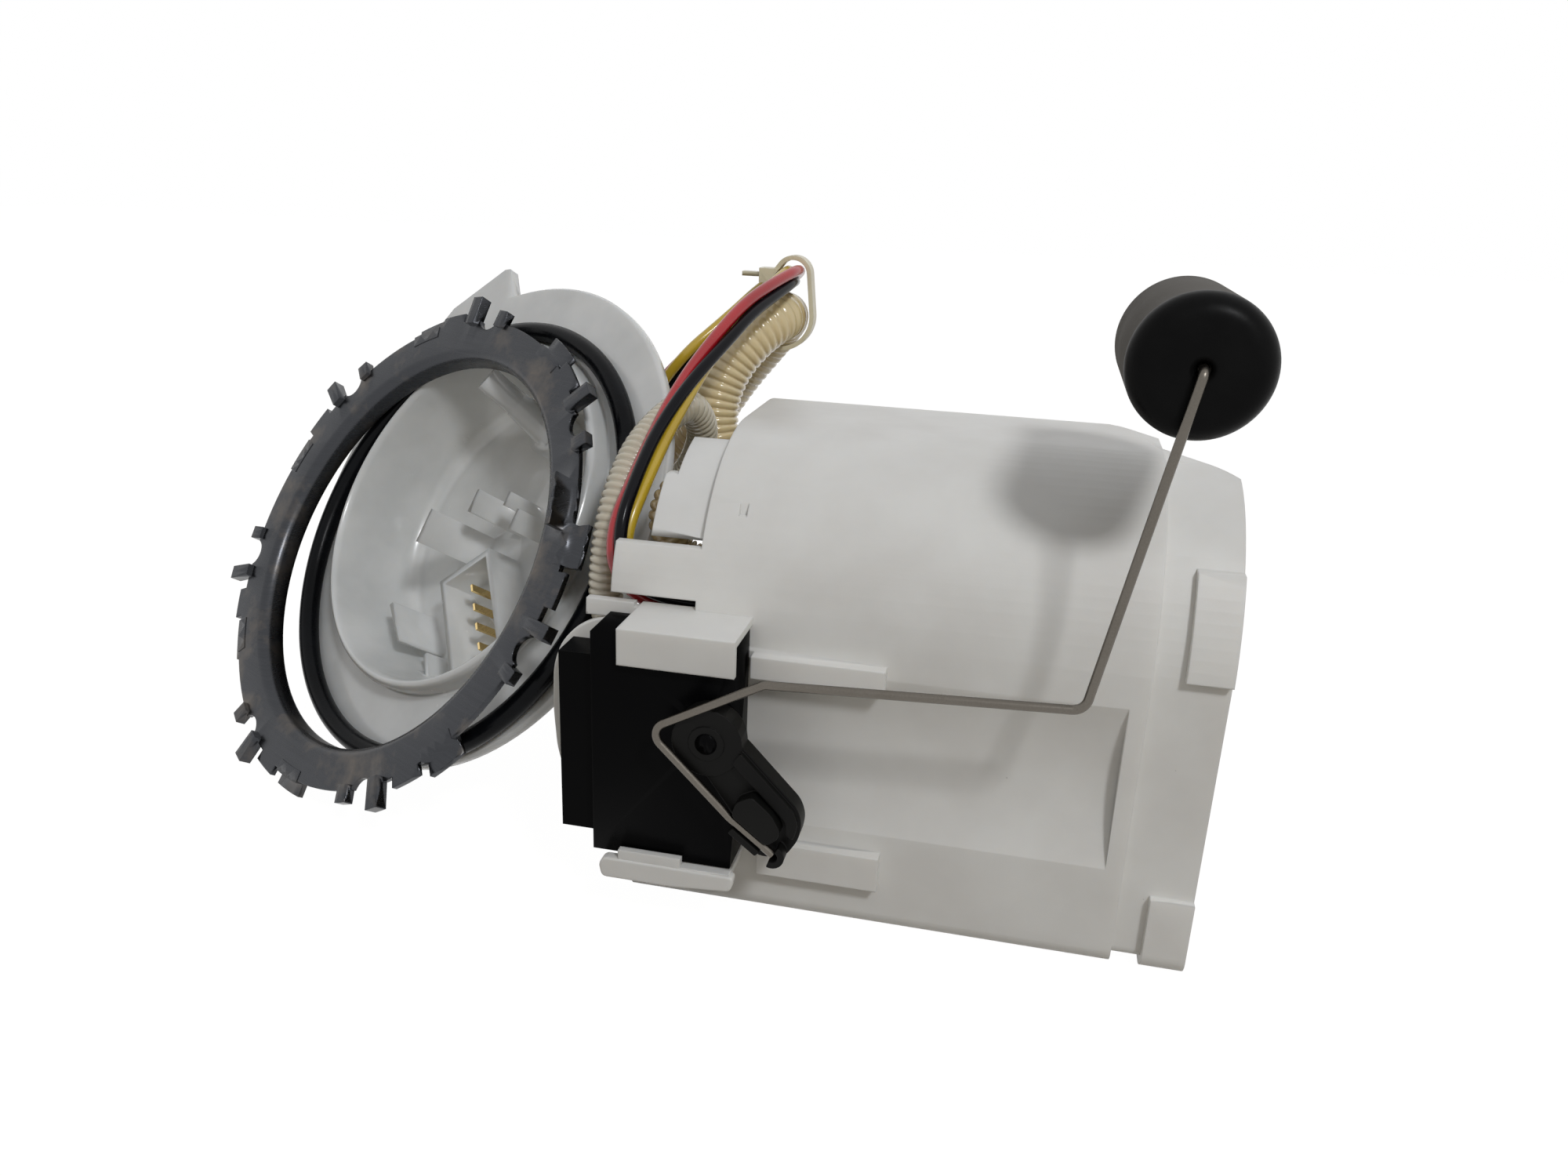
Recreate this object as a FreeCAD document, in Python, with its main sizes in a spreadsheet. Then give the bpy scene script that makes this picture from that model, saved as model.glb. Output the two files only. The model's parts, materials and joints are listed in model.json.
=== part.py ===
import FreeCAD, Part
import math
import operator
import os
import Sketcher

# In-tank fuel pump module lying on its side, as it is unpacked. X runs along the
# swirl pot from its open mouth to its closed base, Y points away from the level
# sensor, Z points up. All sizes are in millimetres.

doc = FreeCAD.newDocument("FuelPumpModule")
sheet = doc.addObject("Spreadsheet::Sheet", "Sizes")

DRIVING_SIZES = {
    # Swirl pot, an injection moulded bucket with one flat side
    "pot_front": 62, "pot_back": 56, "pot_height": 116.5, "pot_wall": 2.3,
    "corner_front_top": 44, "corner_back_top": 48, "corner_back_low": 40, "corner_front_low": 5,
    "mouth_x": -46, "apron_x": -62, "apron_height": 78, "step_x": 58, "end_x": 75,
    "band_depth": 2.2, "slant_start_y": -27, "slant_end_y": 14, "slant_x": 47,
    "saddle_height": 47, "saddle_radius": 60, "saddle_depth": 3.6,
    "lug_upper_low": 75, "lug_upper_high": 98, "lug_lower_high": 20, "lug_x": 65, "lug_slot": 6,
    "ear_upper_x": -67, "ear_upper_low": 81, "ear_upper_high": 92.5,
    "ear_lower_x": -73, "ear_lower_low": 75, "ear_lower_high": 79, "ear_reach": 40,
    "window_x": -38.5, "window_width": 2, "window_low": 100, "window_height": 6,
    # Rails and clips that hold the level sensor on the flat side
    "rail_upper_low": 65, "rail_upper_high": 70.5, "rail_upper_end": 0, "rail_depth": 3.5,
    "rail_lower_low": 13, "rail_lower_high": 22, "rail_lower_end": 1.5,
    "clip_start": -59.5, "clip_end": -32, "clip_low_end": -44, "clip_plate": 1.8, "clip_lip": 7,
    # Pot cover with its stepped collar
    "fit_gap": 0.4, "cover_x": -44, "cover_plate": 2.5, "collar_wall": 2.2,
    "panel_low_x": -59.5, "panel_high_x": -56.5, "panel_low_z": 93.5, "panel_mid_z": 106,
    "panel_high_z": 113, "collar_reach": 30,
    # Pump line: everything here turns about the pump axis
    "pump_y": -8, "pump_z": 58, "pump_x": -34, "pump_radius": 19, "pump_length": 66, "casing_wall": 1.2,
    "end_cap_length": 8, "shaft_radius": 2, "bearing_gap": 0.05, "armature_radius": 12.4,
    "armature_length": 26, "magnet_gap": 0.8, "magnet_length": 30, "commutator_radius": 6.5,
    "commutator_length": 7, "impeller_radius": 15, "impeller_thickness": 3.6, "impeller_gap": 0.25,
    "vane_count": 24, "vane_depth": 2.2, "outlet_radius": 4, "outlet_bore": 2.4, "outlet_length": 12,
    "brush_width": 4, "brush_length": 6, "sleeve_wall": 2.4, "sleeve_length": 34,
    "filter_inner": 22, "filter_outer": 33, "filter_length": 50, "pleat_count": 24,
    "housing_wall": 1.8, "housing_radius": 36, "housing_length": 60, "housing_x": -32,
    "strainer_radius": 15, "strainer_thickness": 4, "terminal_width": 3, "terminal_length": 6,
    # Check valve in the pump outlet
    "poppet_radius": 2.2, "poppet_travel": 1.5, "valve_case_radius": 5.2, "valve_case_length": 12,
    # Pressure regulator
    "regulator_y": 31, "regulator_z": 26, "regulator_seat": 4.5, "regulator_radius": 11,
    "regulator_length": 14, "regulator_travel": 1.2, "spring_wire": 0.9, "spring_radius": 4.2,
    "spring_turns": 3,
    # Jet pump and foot valve at the pot base
    "jet_y": -38, "jet_length": 40, "jet_radius": 5, "nozzle_length": 12,
    "foot_y": -36, "foot_z": 58, "foot_radius": 9, "foot_stem": 2, "foot_travel": 1.5,
    # Level sensor on the flat side
    "sensor_left": -66.5, "sensor_right": -32.4, "sensor_low": 20.2, "sensor_high": 76.6,
    "sensor_back": 62.6, "sensor_front": 76, "sensor_wall": 1.6,
    "plug_left": -75.6, "plug_low": 23.5, "plug_high": 69.5, "plug_front": 73,
    "hub_x": -37, "hub_z": 55.5, "hub_radius": 8.2, "hub_pin": 2.5, "lever_thickness": 5.6,
    "lever_tip_x": -21.2, "lever_tip_z": 34.2, "lever_tip_radius": 6.6, "lever_gap": 0.5,
    "arm_plane": 83.4, "arm_wire": 2, "arm_bend": 3.2, "arm_end_bend": 1.6, "float_x": 56, "float_z": 145, "float_radius": 14,
    "float_length": 43, "float_face": 81.6, "float_bore_gap": 0.08,
    # Flange, seal and lock ring, stacked on one leaning axis
    "lid_x": -137.7, "lid_y": 6.1, "lid_z": 74.9, "lid_turn": -30.5, "lid_lean": 57.49,
    "disc_radius": 77.5, "disc_thickness": 4, "cup_radius": 56.4, "cup_height": 7,
    "dish_radius": 53.6, "dish_floor_radius": 48, "dish_depth": 22, "lid_wall": 2.6,
    "skirt_radius": 60.5, "skirt_depth": 12, "seal_radius": 67.4, "seal_section": 3,
    "seal_v": 3.0, "seal_u": -7.2, "ring_v": -6.2, "ring_u": -16.9, "ring_lift": 14.9,
    "ring_inner": 61, "ring_outer": 73.3, "ring_sheet": 1.6, "ring_collar": 7.2, "ring_bend": 3,
    "lug_count": 7, "pad_radius": 77.5, "hook_radius": 80.6, "strip_height": 7,
    "nipple_radius": 4.1, "nipple_bore": 2.6, "nipple_length": 26.4, "feed_u": 35, "return_v": 32, "return_u": 22,
    "spigot_radius": 3.4, "spigot_depth": 9.5, "plug_v": 10, "plug_u": -27,
    "socket_length": 37, "socket_width": 22, "socket_height": 13, "socket_wall": 2,
    # Hoses, wires and the tie round them
    "feed_hose": 12.6, "return_hose": 8.8, "jet_hose": 8.8, "wire_size": 2.7, "bundle_radius": 2,
    "tie_hose_radius": 8.9, "tie_wire_radius": 4.2, "tie_width": 4.6, "tie_thickness": 1.3,
}


class Size:
    """A number that remembers which sheet cells it was worked out from."""

    def __init__(self, value, text):
        self.value = value
        self.text = text

    def __add__(self, other):
        return worked("+", operator.add, self, other)

    def __radd__(self, other):
        return worked("+", operator.add, other, self)

    def __sub__(self, other):
        return worked("-", operator.sub, self, other)

    def __rsub__(self, other):
        return worked("-", operator.sub, other, self)

    def __mul__(self, other):
        return worked("*", operator.mul, self, other)

    def __rmul__(self, other):
        return worked("*", operator.mul, other, self)

    def __truediv__(self, other):
        return worked("/", operator.truediv, self, other)

    def __neg__(self):
        return worked("-", operator.sub, 0, self)

    def __float__(self):
        return float(self.value)


def as_size(number):
    """Gives a plain number the same form as a sheet size."""
    if isinstance(number, Size):
        return number
    return Size(float(number), "({:.6f})".format(number))


def worked(sign, action, first, second):
    """Joins two sizes into one, in value and in expression."""
    left = as_size(first)
    right = as_size(second)
    return Size(action(left.value, right.value), "({} {} {})".format(left.text, sign, right.text))


def fill_sheet():
    """Writes every driving size to a cell of its own and returns them by name."""
    found = {}
    for row, (name, value) in enumerate(DRIVING_SIZES.items(), start=1):
        cell = "B{}".format(row)
        sheet.set("A{}".format(row), name.replace("_", " "))
        sheet.set(cell, str(value))
        sheet.setAlias(cell, name)
        found[name] = Size(float(value), "Sizes." + name)
    doc.recompute()
    return found


class Sizes:
    """Reads a driving size as an attribute."""

    def __init__(self, found):
        self.found = found

    def __getattr__(self, name):
        return self.found[name]


s = Sizes(fill_sheet())
pieces = []
counter = {}


def fresh(stem):
    """Names helper objects in order, so that each name is used once."""
    counter[stem] = counter.get(stem, 0) + 1
    return "{}_{}".format(stem, counter[stem])


def bind(item, path, number):
    """Ties one property to the sheet."""
    item.setExpression(path, as_size(number).text)


def place(item, x=0, y=0, z=0, yaw=0, pitch=0, roll=0):
    """Ties a whole placement to the sheet. Angles are in degrees."""
    text = "placement(vector({}; {}; {}); rotation({}; {}; {}))"
    item.setExpression("Placement", text.format(*[as_size(n).text for n in (x, y, z, yaw, pitch, roll)]))
    return item


def keep(item, label):
    """Marks an object as one finished sub-part."""
    item.Label = label
    pieces.append(item)
    return item


def in_pot(item):
    """Local x, y and z of the pot's section lie along world Y, Z and X."""
    return place(item, yaw=90, roll=90)


def lid_place(v, u, n):
    """World position of a point given across, up and out of the lid's face."""
    turn = math.radians(s.lid_turn.value)
    lean = math.radians(s.lid_lean.value)
    across = (math.cos(turn), math.sin(turn), 0.0)
    upward = (-math.sin(turn) * math.cos(lean), math.cos(turn) * math.cos(lean), math.sin(lean))
    axis = (math.sin(turn) * math.sin(lean), -math.cos(turn) * math.sin(lean), math.cos(lean))
    shift = [v * a + u * b + n * c for a, b, c in zip(across, upward, axis)]
    return [s.lid_x + shift[0], s.lid_y + shift[1], s.lid_z + shift[2]]


def in_lid(item, v=0, u=0, n=0):
    """Lid pieces are drawn with z along the lid's axis, from the disc's outer face."""
    return place(item, *lid_place(v, u, n), s.lid_turn, 0, s.lid_lean)


def lid_point(v, u, n):
    """The same position as plain numbers, for hand-picked hose routes."""
    return tuple(float(number) for number in lid_place(v, u, n))


def on_pump(item, x=0, y=0, z=0):
    """Pump pieces are turned about local z, which lies along world X."""
    return place(item, s.pump_x + x, s.pump_y + y, s.pump_z + z, 0, 90, 0)


def box(x, y, z, length, width, height, radius=None):
    """A block from its lowest corner."""
    item = doc.addObject("Part::Box", fresh("block"))
    bind(item, "Length", length)
    bind(item, "Width", width)
    bind(item, "Height", height)
    return place(item, x, y, z)


def rod(radius, height, x=0, y=0, z=0, yaw=0, pitch=0, roll=0):
    """A cylinder standing on its placement."""
    item = doc.addObject("Part::Cylinder", fresh("rod"))
    bind(item, "Radius", radius)
    bind(item, "Height", height)
    return place(item, x, y, z, yaw, pitch, roll)


def fused(*items):
    """Joins solids of one moulding."""
    item = doc.addObject("Part::MultiFuse", fresh("joined"))
    item.Shapes = list(items)
    item.Refine = True
    return item


def cut(base, *tools):
    """Takes tools away from a base."""
    item = doc.addObject("Part::Cut", fresh("cut"))
    item.Base = base
    item.Tool = tools[0] if len(tools) == 1 else fused(*tools)
    item.Refine = True
    return item


def common(base, tool):
    """Keeps what two solids share."""
    item = doc.addObject("Part::Common", fresh("shared"))
    item.Base = base
    item.Tool = tool
    item.Refine = True
    return item


def closed_outline(sketch, corners):
    """Draws a closed outline whose corners are tied to the sheet."""
    points = [FreeCAD.Vector(float(x), float(y), 0) for x, y in corners]
    count = len(points)
    for index, start in enumerate(points):
        sketch.addGeometry(Part.LineSegment(start, points[(index + 1) % count]))
    for index in range(count):
        sketch.addConstraint(Sketcher.Constraint("Coincident", index, 2, (index + 1) % count, 1))
    for index, (x, y) in enumerate(corners):
        for kind, number in (("DistanceX", x), ("DistanceY", y)):
            at = sketch.addConstraint(Sketcher.Constraint(kind, index, 1, float(number)))
            if isinstance(number, Size):
                sketch.setExpression("Constraints[{}]".format(at), number.text)
    return sketch


def body_sketch(body, role):
    """Starts a sketch on one of the body's own planes."""
    sketch = body.newObject("Sketcher::SketchObject", fresh("outline"))
    plane = [item for item in body.Origin.OriginFeatures if item.Role == role][0]
    sketch.AttachmentSupport = [(plane, "")]
    sketch.MapMode = "FlatFace"
    return sketch


def turned(corners):
    """A body turned about its local z from corners given as radius and height."""
    body = doc.addObject("PartDesign::Body", fresh("turned"))
    sketch = closed_outline(body_sketch(body, "XZ_Plane"), corners)
    feature = body.newObject("PartDesign::Revolution", fresh("revolve"))
    feature.Profile = sketch
    feature.ReferenceAxis = (sketch, ["V_Axis"])
    feature.Angle = 360
    sketch.Visibility = False
    return body


def plate(corners, thickness, start=0):
    """A body padded along local z from an outline."""
    body = doc.addObject("PartDesign::Body", fresh("plate"))
    sketch = closed_outline(body_sketch(body, "XY_Plane"), corners)
    sketch.setExpression(".AttachmentOffset.Base.z", as_size(start).text)
    feature = body.newObject("PartDesign::Pad", fresh("pad"))
    feature.Profile = sketch
    bind(feature, "Length", thickness)
    return body


def ring(outer, inner, height, z=0):
    """A plain tube along local z."""
    return turned([(inner, z), (outer, z), (outer, height + z), (inner, height + z)])


def group(*items):
    """Separate solids that share one node."""
    item = doc.addObject("Part::Compound", fresh("group"))
    item.Links = list(items)
    return item


def rounded_section(inset, start):
    """The pot's rounded section, drawn inset from the outer wall, at a height along local z."""
    left = -s.pot_front + inset
    right = s.pot_back - inset
    low = as_size(inset)
    high = s.pot_height - inset
    radii = [s.corner_front_low, s.corner_back_low, s.corner_back_top, s.corner_front_top]
    radii = [radius - inset for radius in radii]
    sketch = doc.addObject("Sketcher::SketchObject", fresh("section"))
    spots = [(left, low), (right, low), (right, high), (left, high)]
    signs = [(1, 1), (-1, 1), (-1, -1), (1, -1)]
    turns = [(180, 270), (270, 360), (0, 90), (90, 180)]
    centres = []
    for (x, y), (sx, sy), radius in zip(spots, signs, radii):
        centres.append(FreeCAD.Vector(float(x) + sx * float(radius), float(y) + sy * float(radius), 0))
    ends = []
    for centre, radius, (first, last) in zip(centres, radii, turns):
        spokes = [(math.cos(math.radians(a)), math.sin(math.radians(a))) for a in (first, last)]
        ends.append([centre + FreeCAD.Vector(c, w, 0) * float(radius) for c, w in spokes])
    for index, (centre, radius, (first, last)) in enumerate(zip(centres, radii, turns)):
        circle = Part.Circle(centre, FreeCAD.Vector(0, 0, 1), float(radius))
        sketch.addGeometry(Part.ArcOfCircle(circle, math.radians(first), math.radians(last)))
    for index in range(4):
        sketch.addGeometry(Part.LineSegment(ends[index][1], ends[(index + 1) % 4][0]))
    for index in range(4):
        sketch.addConstraint(Sketcher.Constraint("Tangent", index, 2, 4 + index, 1))
        sketch.addConstraint(Sketcher.Constraint("Tangent", 4 + index, 2, (index + 1) % 4, 1))
    for index, kind in enumerate(("Horizontal", "Vertical", "Horizontal", "Vertical")):
        sketch.addConstraint(Sketcher.Constraint(kind, 4 + index))
    sides = [("DistanceY", 4, low), ("DistanceX", 5, right), ("DistanceY", 6, high), ("DistanceX", 7, left)]
    for kind, line, number in sides:
        at = sketch.addConstraint(Sketcher.Constraint(kind, line, 1, float(number)))
        sketch.setExpression("Constraints[{}]".format(at), number.text)
    for index, radius in enumerate(radii):
        at = sketch.addConstraint(Sketcher.Constraint("Radius", index, float(radius)))
        sketch.setExpression("Constraints[{}]".format(at), radius.text)
    place(sketch, 0, 0, start)
    return sketch


def rounded_block(inset, start, end):
    """The rounded section drawn out along local z."""
    item = doc.addObject("Part::Extrusion", fresh("block"))
    item.Base = rounded_section(as_size(inset), start)
    item.DirMode = "Custom"
    item.Dir = FreeCAD.Vector(0, 0, 1)
    bind(item, "LengthFwd", as_size(end) - start)
    item.Solid = True
    return item


def slant_tool(margin):
    """The wedge that slants the pot's base at the back, moved in by a margin."""
    start = s.slant_start_y - margin
    corner = s.slant_x - margin
    clear = s.end_x + 5
    corners = [
        (start, s.end_x + 0.01), (s.slant_end_y - margin, corner), (s.pot_back + 5, corner),
        (s.pot_back + 5, clear), (start, clear),
    ]
    body = plate(corners, s.pot_height + 20)
    return place(body, 0, s.pot_height + 10, 0, roll=90)


def saddle_tool(margin, start, end):
    """The long round tool that hollows the flat side."""
    radius = s.saddle_radius + margin
    centre = -(s.pot_front + s.saddle_radius - s.saddle_depth)
    return rod(radius, as_size(end) - start, centre, s.saddle_height, start)


def make_pot():
    """Swirl pot: one moulding with its ears, lugs, rails and sensor clips."""
    far = s.ear_lower_x
    outer = fused(rounded_block(0, far, s.step_x), rounded_block(s.band_depth, s.step_x - 1, s.end_x))
    lug_length = s.end_x - s.lug_x
    full_end = rounded_block(0, s.step_x, s.end_x)
    upper = box(-s.pot_front - 1, s.lug_upper_low, s.lug_x, 30, s.lug_upper_high - s.lug_upper_low, lug_length)
    lower = box(-s.pot_front - 1, -1, s.lug_x, 30, s.lug_lower_high + 1, lug_length)
    outer = fused(outer, common(full_end, fused(upper, lower)))
    outer = cut(outer, slant_tool(0), saddle_tool(0, far - 1, s.step_x - 4))
    floor_x = s.end_x - s.pot_wall
    hollow = fused(
        rounded_block(s.pot_wall, far - 1, s.step_x - s.pot_wall),
        rounded_block(s.pot_wall + s.band_depth, s.step_x - s.pot_wall - 1, floor_x),
    )
    hollow = cut(hollow, slant_tool(s.pot_wall), saddle_tool(s.pot_wall, far - 2, s.step_x - 3))
    shell = cut(outer, hollow)
    wide = s.pot_front + s.pot_back + 4
    left = -s.pot_front - 2
    ear_reach = s.ear_reach / 2
    mouth = fused(
        box(left, -2, s.mouth_x, wide, s.pot_height + 4, s.end_x - s.mouth_x + 1),
        box(left, -2, s.apron_x, wide, s.apron_height + 2, s.mouth_x - s.apron_x + 1),
        box(left, s.ear_upper_low, s.ear_upper_x, ear_reach, s.ear_upper_high - s.ear_upper_low,
            s.mouth_x - s.ear_upper_x + 1),
        box(left, s.ear_lower_low, s.ear_lower_x, ear_reach, s.ear_lower_high - s.ear_lower_low,
            s.apron_x - s.ear_lower_x + 1),
    )
    shell = common(shell, mouth)
    window = box(-s.pot_front, s.window_low, s.window_x, 12, s.window_height, s.window_width)
    foot_hole = rod(s.foot_stem + 0.4, 12, s.foot_y, s.foot_z, s.end_x - 8)
    inlet_turns = [(angle, s.foot_radius * 0.62) for angle in (0, 60, 120, 180, 240, 300)]
    holes = [window, foot_hole]
    for angle, radius in inlet_turns:
        across = radius * math.cos(math.radians(angle))
        up = radius * math.sin(math.radians(angle))
        holes.append(rod(1.6, 12, s.foot_y + across, s.foot_z + up, s.end_x - 8))
    shell = cut(shell, *holes)
    rails = cut(fused(*rail_blocks()), hollow)
    return keep(in_pot(fused(shell, rails)), "pot_shell")


def rail_blocks():
    """Guide rails and L-shaped clips, in the pot's local axes."""
    front = -s.pot_front
    sink = 4.5
    depth = s.rail_depth + sink
    rails = [
        box(front - s.rail_depth, s.rail_upper_low, s.sensor_right + 1, depth,
            s.rail_upper_high - s.rail_upper_low, s.rail_upper_end - s.sensor_right - 1),
        box(front - s.rail_depth, s.rail_lower_low, s.sensor_right + 4, depth,
            s.rail_lower_high - s.rail_lower_low, s.rail_lower_end - s.sensor_right - 4),
    ]
    reach = s.sensor_front + 0.4 + s.clip_plate
    roof = s.sensor_high + 0.4
    clip_length = s.clip_end - s.clip_start
    rails.append(box(-reach, roof, s.clip_start, reach - s.pot_front + sink, s.clip_plate, clip_length))
    rails.append(box(-reach, roof - s.clip_lip, s.clip_start, s.clip_plate, s.clip_lip + 0.5, clip_length))
    ground = s.sensor_low - 0.4 - s.clip_plate
    low_length = s.clip_low_end - s.clip_start
    rails.append(box(-reach, ground, s.clip_start, reach - s.pot_front + sink, s.clip_plate, clip_length))
    rails.append(box(-reach, ground + 0.5, s.clip_start, s.clip_plate, s.clip_lip * 0.5, low_length))
    web = s.clip_plate * 1.2
    for offset in (0.12, 0.5, 0.88):
        along = s.clip_start + clip_length * offset - web / 2
        rails.append(box(front - 9, ground - 6, along, 9 + sink, 6.5, web))
    return rails


def hose_hole(end, diameter, start, thick):
    """A clear hole in the cover for a hose that goes in at one end of its route."""
    return rod(diameter / 2 + 0.6, thick, end[1], end[2], start)


def make_cover():
    """Plug-in cover with a stepped collar along the mouth's upper front corner."""
    inset = s.pot_wall + s.fit_gap
    edge = s.cover_x + s.cover_plate
    disc = rounded_block(inset, s.cover_x, edge)
    disc = cut(disc, saddle_tool(inset, s.cover_x - 1, edge + 1))
    tube = cut(rounded_block(inset, s.panel_low_x, edge), rounded_block(inset + s.collar_wall, -90, 10))
    left = -s.pot_front - 2
    steps = fused(
        box(left, s.panel_low_z, s.panel_low_x, s.collar_reach, s.panel_mid_z - s.panel_low_z,
            s.cover_x - s.panel_low_x + 1),
        box(left, s.panel_mid_z - 1, s.panel_high_x, s.collar_reach + 6, s.panel_high_z - s.panel_mid_z + 1,
            s.cover_x - s.panel_high_x + 1),
    )
    cover = fused(disc, common(tube, steps))
    thick = s.cover_plate + 4
    start = s.cover_x - 2
    seat = cut(
        rod(s.regulator_radius + 2, s.regulator_seat + 0.5, s.regulator_y, s.regulator_z, edge - 0.5),
        rod(s.regulator_radius + 0.15, s.regulator_seat + 2, s.regulator_y, s.regulator_z, edge),
    )
    cover = fused(cover, seat)
    openings = [
        rod(s.valve_case_radius + s.fit_gap, thick, s.pump_y, s.pump_z, start),
        hose_hole(FEED_ROUTE[0], s.feed_hose, start, thick),
        hose_hole(RETURN_ROUTE[0], s.return_hose, start, thick),
        hose_hole(JET_ROUTE[0], s.jet_hose, start, thick),
        hose_hole(JET_ROUTE[-1], s.jet_hose, start, thick),
        rod(s.regulator_radius * 0.4, thick, s.regulator_y, s.regulator_z, start),
        box(-14, 8, start, 22, 9, thick),
    ]
    bundle = WIRE_ROUTE[-1]
    openings.append(rod(GROMMET_RADIUS - 1.5, thick, bundle[1], bundle[2], start))
    return keep(in_pot(cut(cover, *openings)), "pot_cover")


def make_pump():
    """Electric pump: casing, end caps, magnets, rotor, brushes and outlet valve."""
    cap = s.end_cap_length
    wall = s.casing_wall
    radius = s.pump_radius
    length = s.pump_length
    inner = radius - wall
    keep(on_pump(ring(radius, inner, length)), "pump_casing")
    bore = s.shaft_radius + s.bearing_gap
    outlet = turned([
        (bore, 0.5), (inner - 0.02, 0.5), (inner - 0.02, cap), (bore + 3, cap), (bore + 3, cap + 3), (bore, cap + 3),
    ])
    port_y = s.pump_radius * 0.52
    port = rod(s.outlet_radius, s.outlet_length + 1, 0, 0, -s.outlet_length)
    passage = rod(s.outlet_bore, s.outlet_length + cap + 2, 0, 0, -s.outlet_length - 1)
    seat = turned([(0.01, -3), (s.outlet_radius, -3), (s.outlet_radius, 2), (0.01, 2)])
    outlet = cut(fused(outlet, seat, port), rod(s.outlet_bore, s.outlet_length + 1.2, 0, 0, -s.outlet_length - 1),
                 rod(1.5, cap + 4, port_y, 0, -1))
    keep(on_pump(outlet), "pump_outlet_cap")
    chamber = s.impeller_thickness + 2 * s.impeller_gap
    inlet_start = length - cap
    mid = inlet_start + 2
    upper_plate = turned([
        (bore, inlet_start - 4), (inner - 0.02, inlet_start - 4), (inner - 0.02, mid - 0.2), (bore, mid - 0.2),
    ])
    upper_plate = cut(upper_plate, rod(1.8, 12, s.impeller_radius - 1.6, 0, inlet_start - 6))
    keep(on_pump(upper_plate), "pump_middle_plate")
    inlet = turned([
        (0.01, mid + chamber), (s.impeller_radius + s.impeller_gap, mid + chamber),
        (s.impeller_radius + s.impeller_gap, mid), (inner - 0.02, mid), (inner - 0.02, length + 2), (0.01, length + 2),
    ])
    inlet = cut(inlet, rod(bore, chamber + 2.2, 0, 0, mid - 1),
                rod(2.2, 14, -(s.impeller_radius - 1.6), 0, mid))
    keep(on_pump(inlet), "pump_inlet_cap")
    middle_start = cap + 14
    magnet_inner = s.armature_radius + s.magnet_gap
    magnet_ring = ring(inner - 0.02, magnet_inner, s.magnet_length, middle_start - 2)
    gap = 3.4
    split = box(-s.pump_radius, -gap / 2, 0, s.pump_radius * 2, gap, length)
    keep(on_pump(cut(magnet_ring, split)), "field_magnets")
    shaft_start = cap - 4
    shaft_end = mid + chamber - 0.2
    shaft = turned([
        (0.01, shaft_start), (s.shaft_radius - 0.4, shaft_start), (s.shaft_radius, shaft_start + 0.4),
        (s.shaft_radius, shaft_end - 0.4), (s.shaft_radius - 0.4, shaft_end), (0.01, shaft_end),
    ])
    keep(on_pump(shaft), "rotor_shaft")
    core = ring(s.armature_radius, s.shaft_radius + 0.02, s.armature_length, middle_start)
    slot_body = core
    slots = []
    for step in range(8):
        angle = 45 * step
        spoke = (math.cos(math.radians(angle)), math.sin(math.radians(angle)))
        reach = s.armature_radius - 1.6
        slots.append(rod(1.7, s.armature_length + 2, reach * spoke[0], reach * spoke[1], middle_start - 1))
    keep(on_pump(cut(slot_body, *slots)), "armature")
    segments = ring(s.commutator_radius, s.shaft_radius + 0.02, s.commutator_length, middle_start - 1 - 8)
    keep(on_pump(segments), "commutator")
    impeller = ring(s.impeller_radius, s.shaft_radius + 0.02, s.impeller_thickness, mid + s.impeller_gap)
    notches = []
    for step in range(int(s.vane_count.value)):
        angle = math.radians(360.0 * step / s.vane_count.value)
        reach = s.impeller_radius - s.vane_depth * 0.35
        notches.append(rod(s.vane_depth * 0.45, s.impeller_thickness + 2, reach * math.cos(angle),
                           reach * math.sin(angle), mid - 1))
    keep(on_pump(cut(impeller, *notches)), "impeller")
    brushes = []
    brush_z = middle_start - 1 - 8 + 1.5
    for side in (1, -1):
        low = s.commutator_radius + 0.15
        start = low if side > 0 else -(low + s.brush_length)
        brushes.append(box(start, -s.brush_width / 2, brush_z, s.brush_length, s.brush_width, 4.6))
    keep(on_pump(group(*brushes)), "brushes")
    holder_inner = s.commutator_radius + 0.6
    holder = ring(inner - 0.02, holder_inner, 6.3, brush_z - 1)
    pockets = box(-inner + 1.2, -s.brush_width / 2 - 0.1, brush_z - 0.1, (inner - 1.2) * 2, s.brush_width + 0.2, 4.8)
    keep(on_pump(cut(holder, pockets)), "brush_holder")
    blades = []
    for side in (1, -1):
        blades.append(box(-s.terminal_width / 2 + side * 8, 9.5 - 0.4, -s.terminal_length + 0.5,
                          s.terminal_width, 0.8, s.terminal_length))
    keep(on_pump(group(*blades)), "pump_terminals")
    sleeve_start = (length - s.sleeve_length) / 2
    sleeve = ring(radius + s.sleeve_wall, radius + 0.05, s.sleeve_length, sleeve_start)
    keep(on_pump(sleeve), "rubber_sleeve")
    make_outlet_valve()


def make_outlet_valve():
    """Check valve screwed over the pump outlet."""
    start = -s.outlet_length - s.valve_case_length + 4
    case = turned([
        (s.outlet_radius + 0.05, -s.outlet_length + 4), (s.valve_case_radius, -s.outlet_length + 4),
        (s.valve_case_radius, start), (1.4, start), (1.4, start + 1.4),
        (s.poppet_radius + 0.9, start + 1.4), (s.poppet_radius + 0.9, -s.outlet_length - 0.05),
        (s.outlet_radius + 0.05, -s.outlet_length - 0.05),
    ])
    keep(on_pump(case), "check_valve_case")
    lift = s.poppet_travel
    top = -s.outlet_length - 0.3
    poppet = turned([
        (0.01, top - 3.4), (1.0, top - 3.4), (1.0, top - 1.6), (s.poppet_radius + 0.5, top - 1.6),
        (s.poppet_radius + 0.5, top), (0.01, top),
    ])
    keep(on_pump(poppet), "check_valve_poppet")


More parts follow.
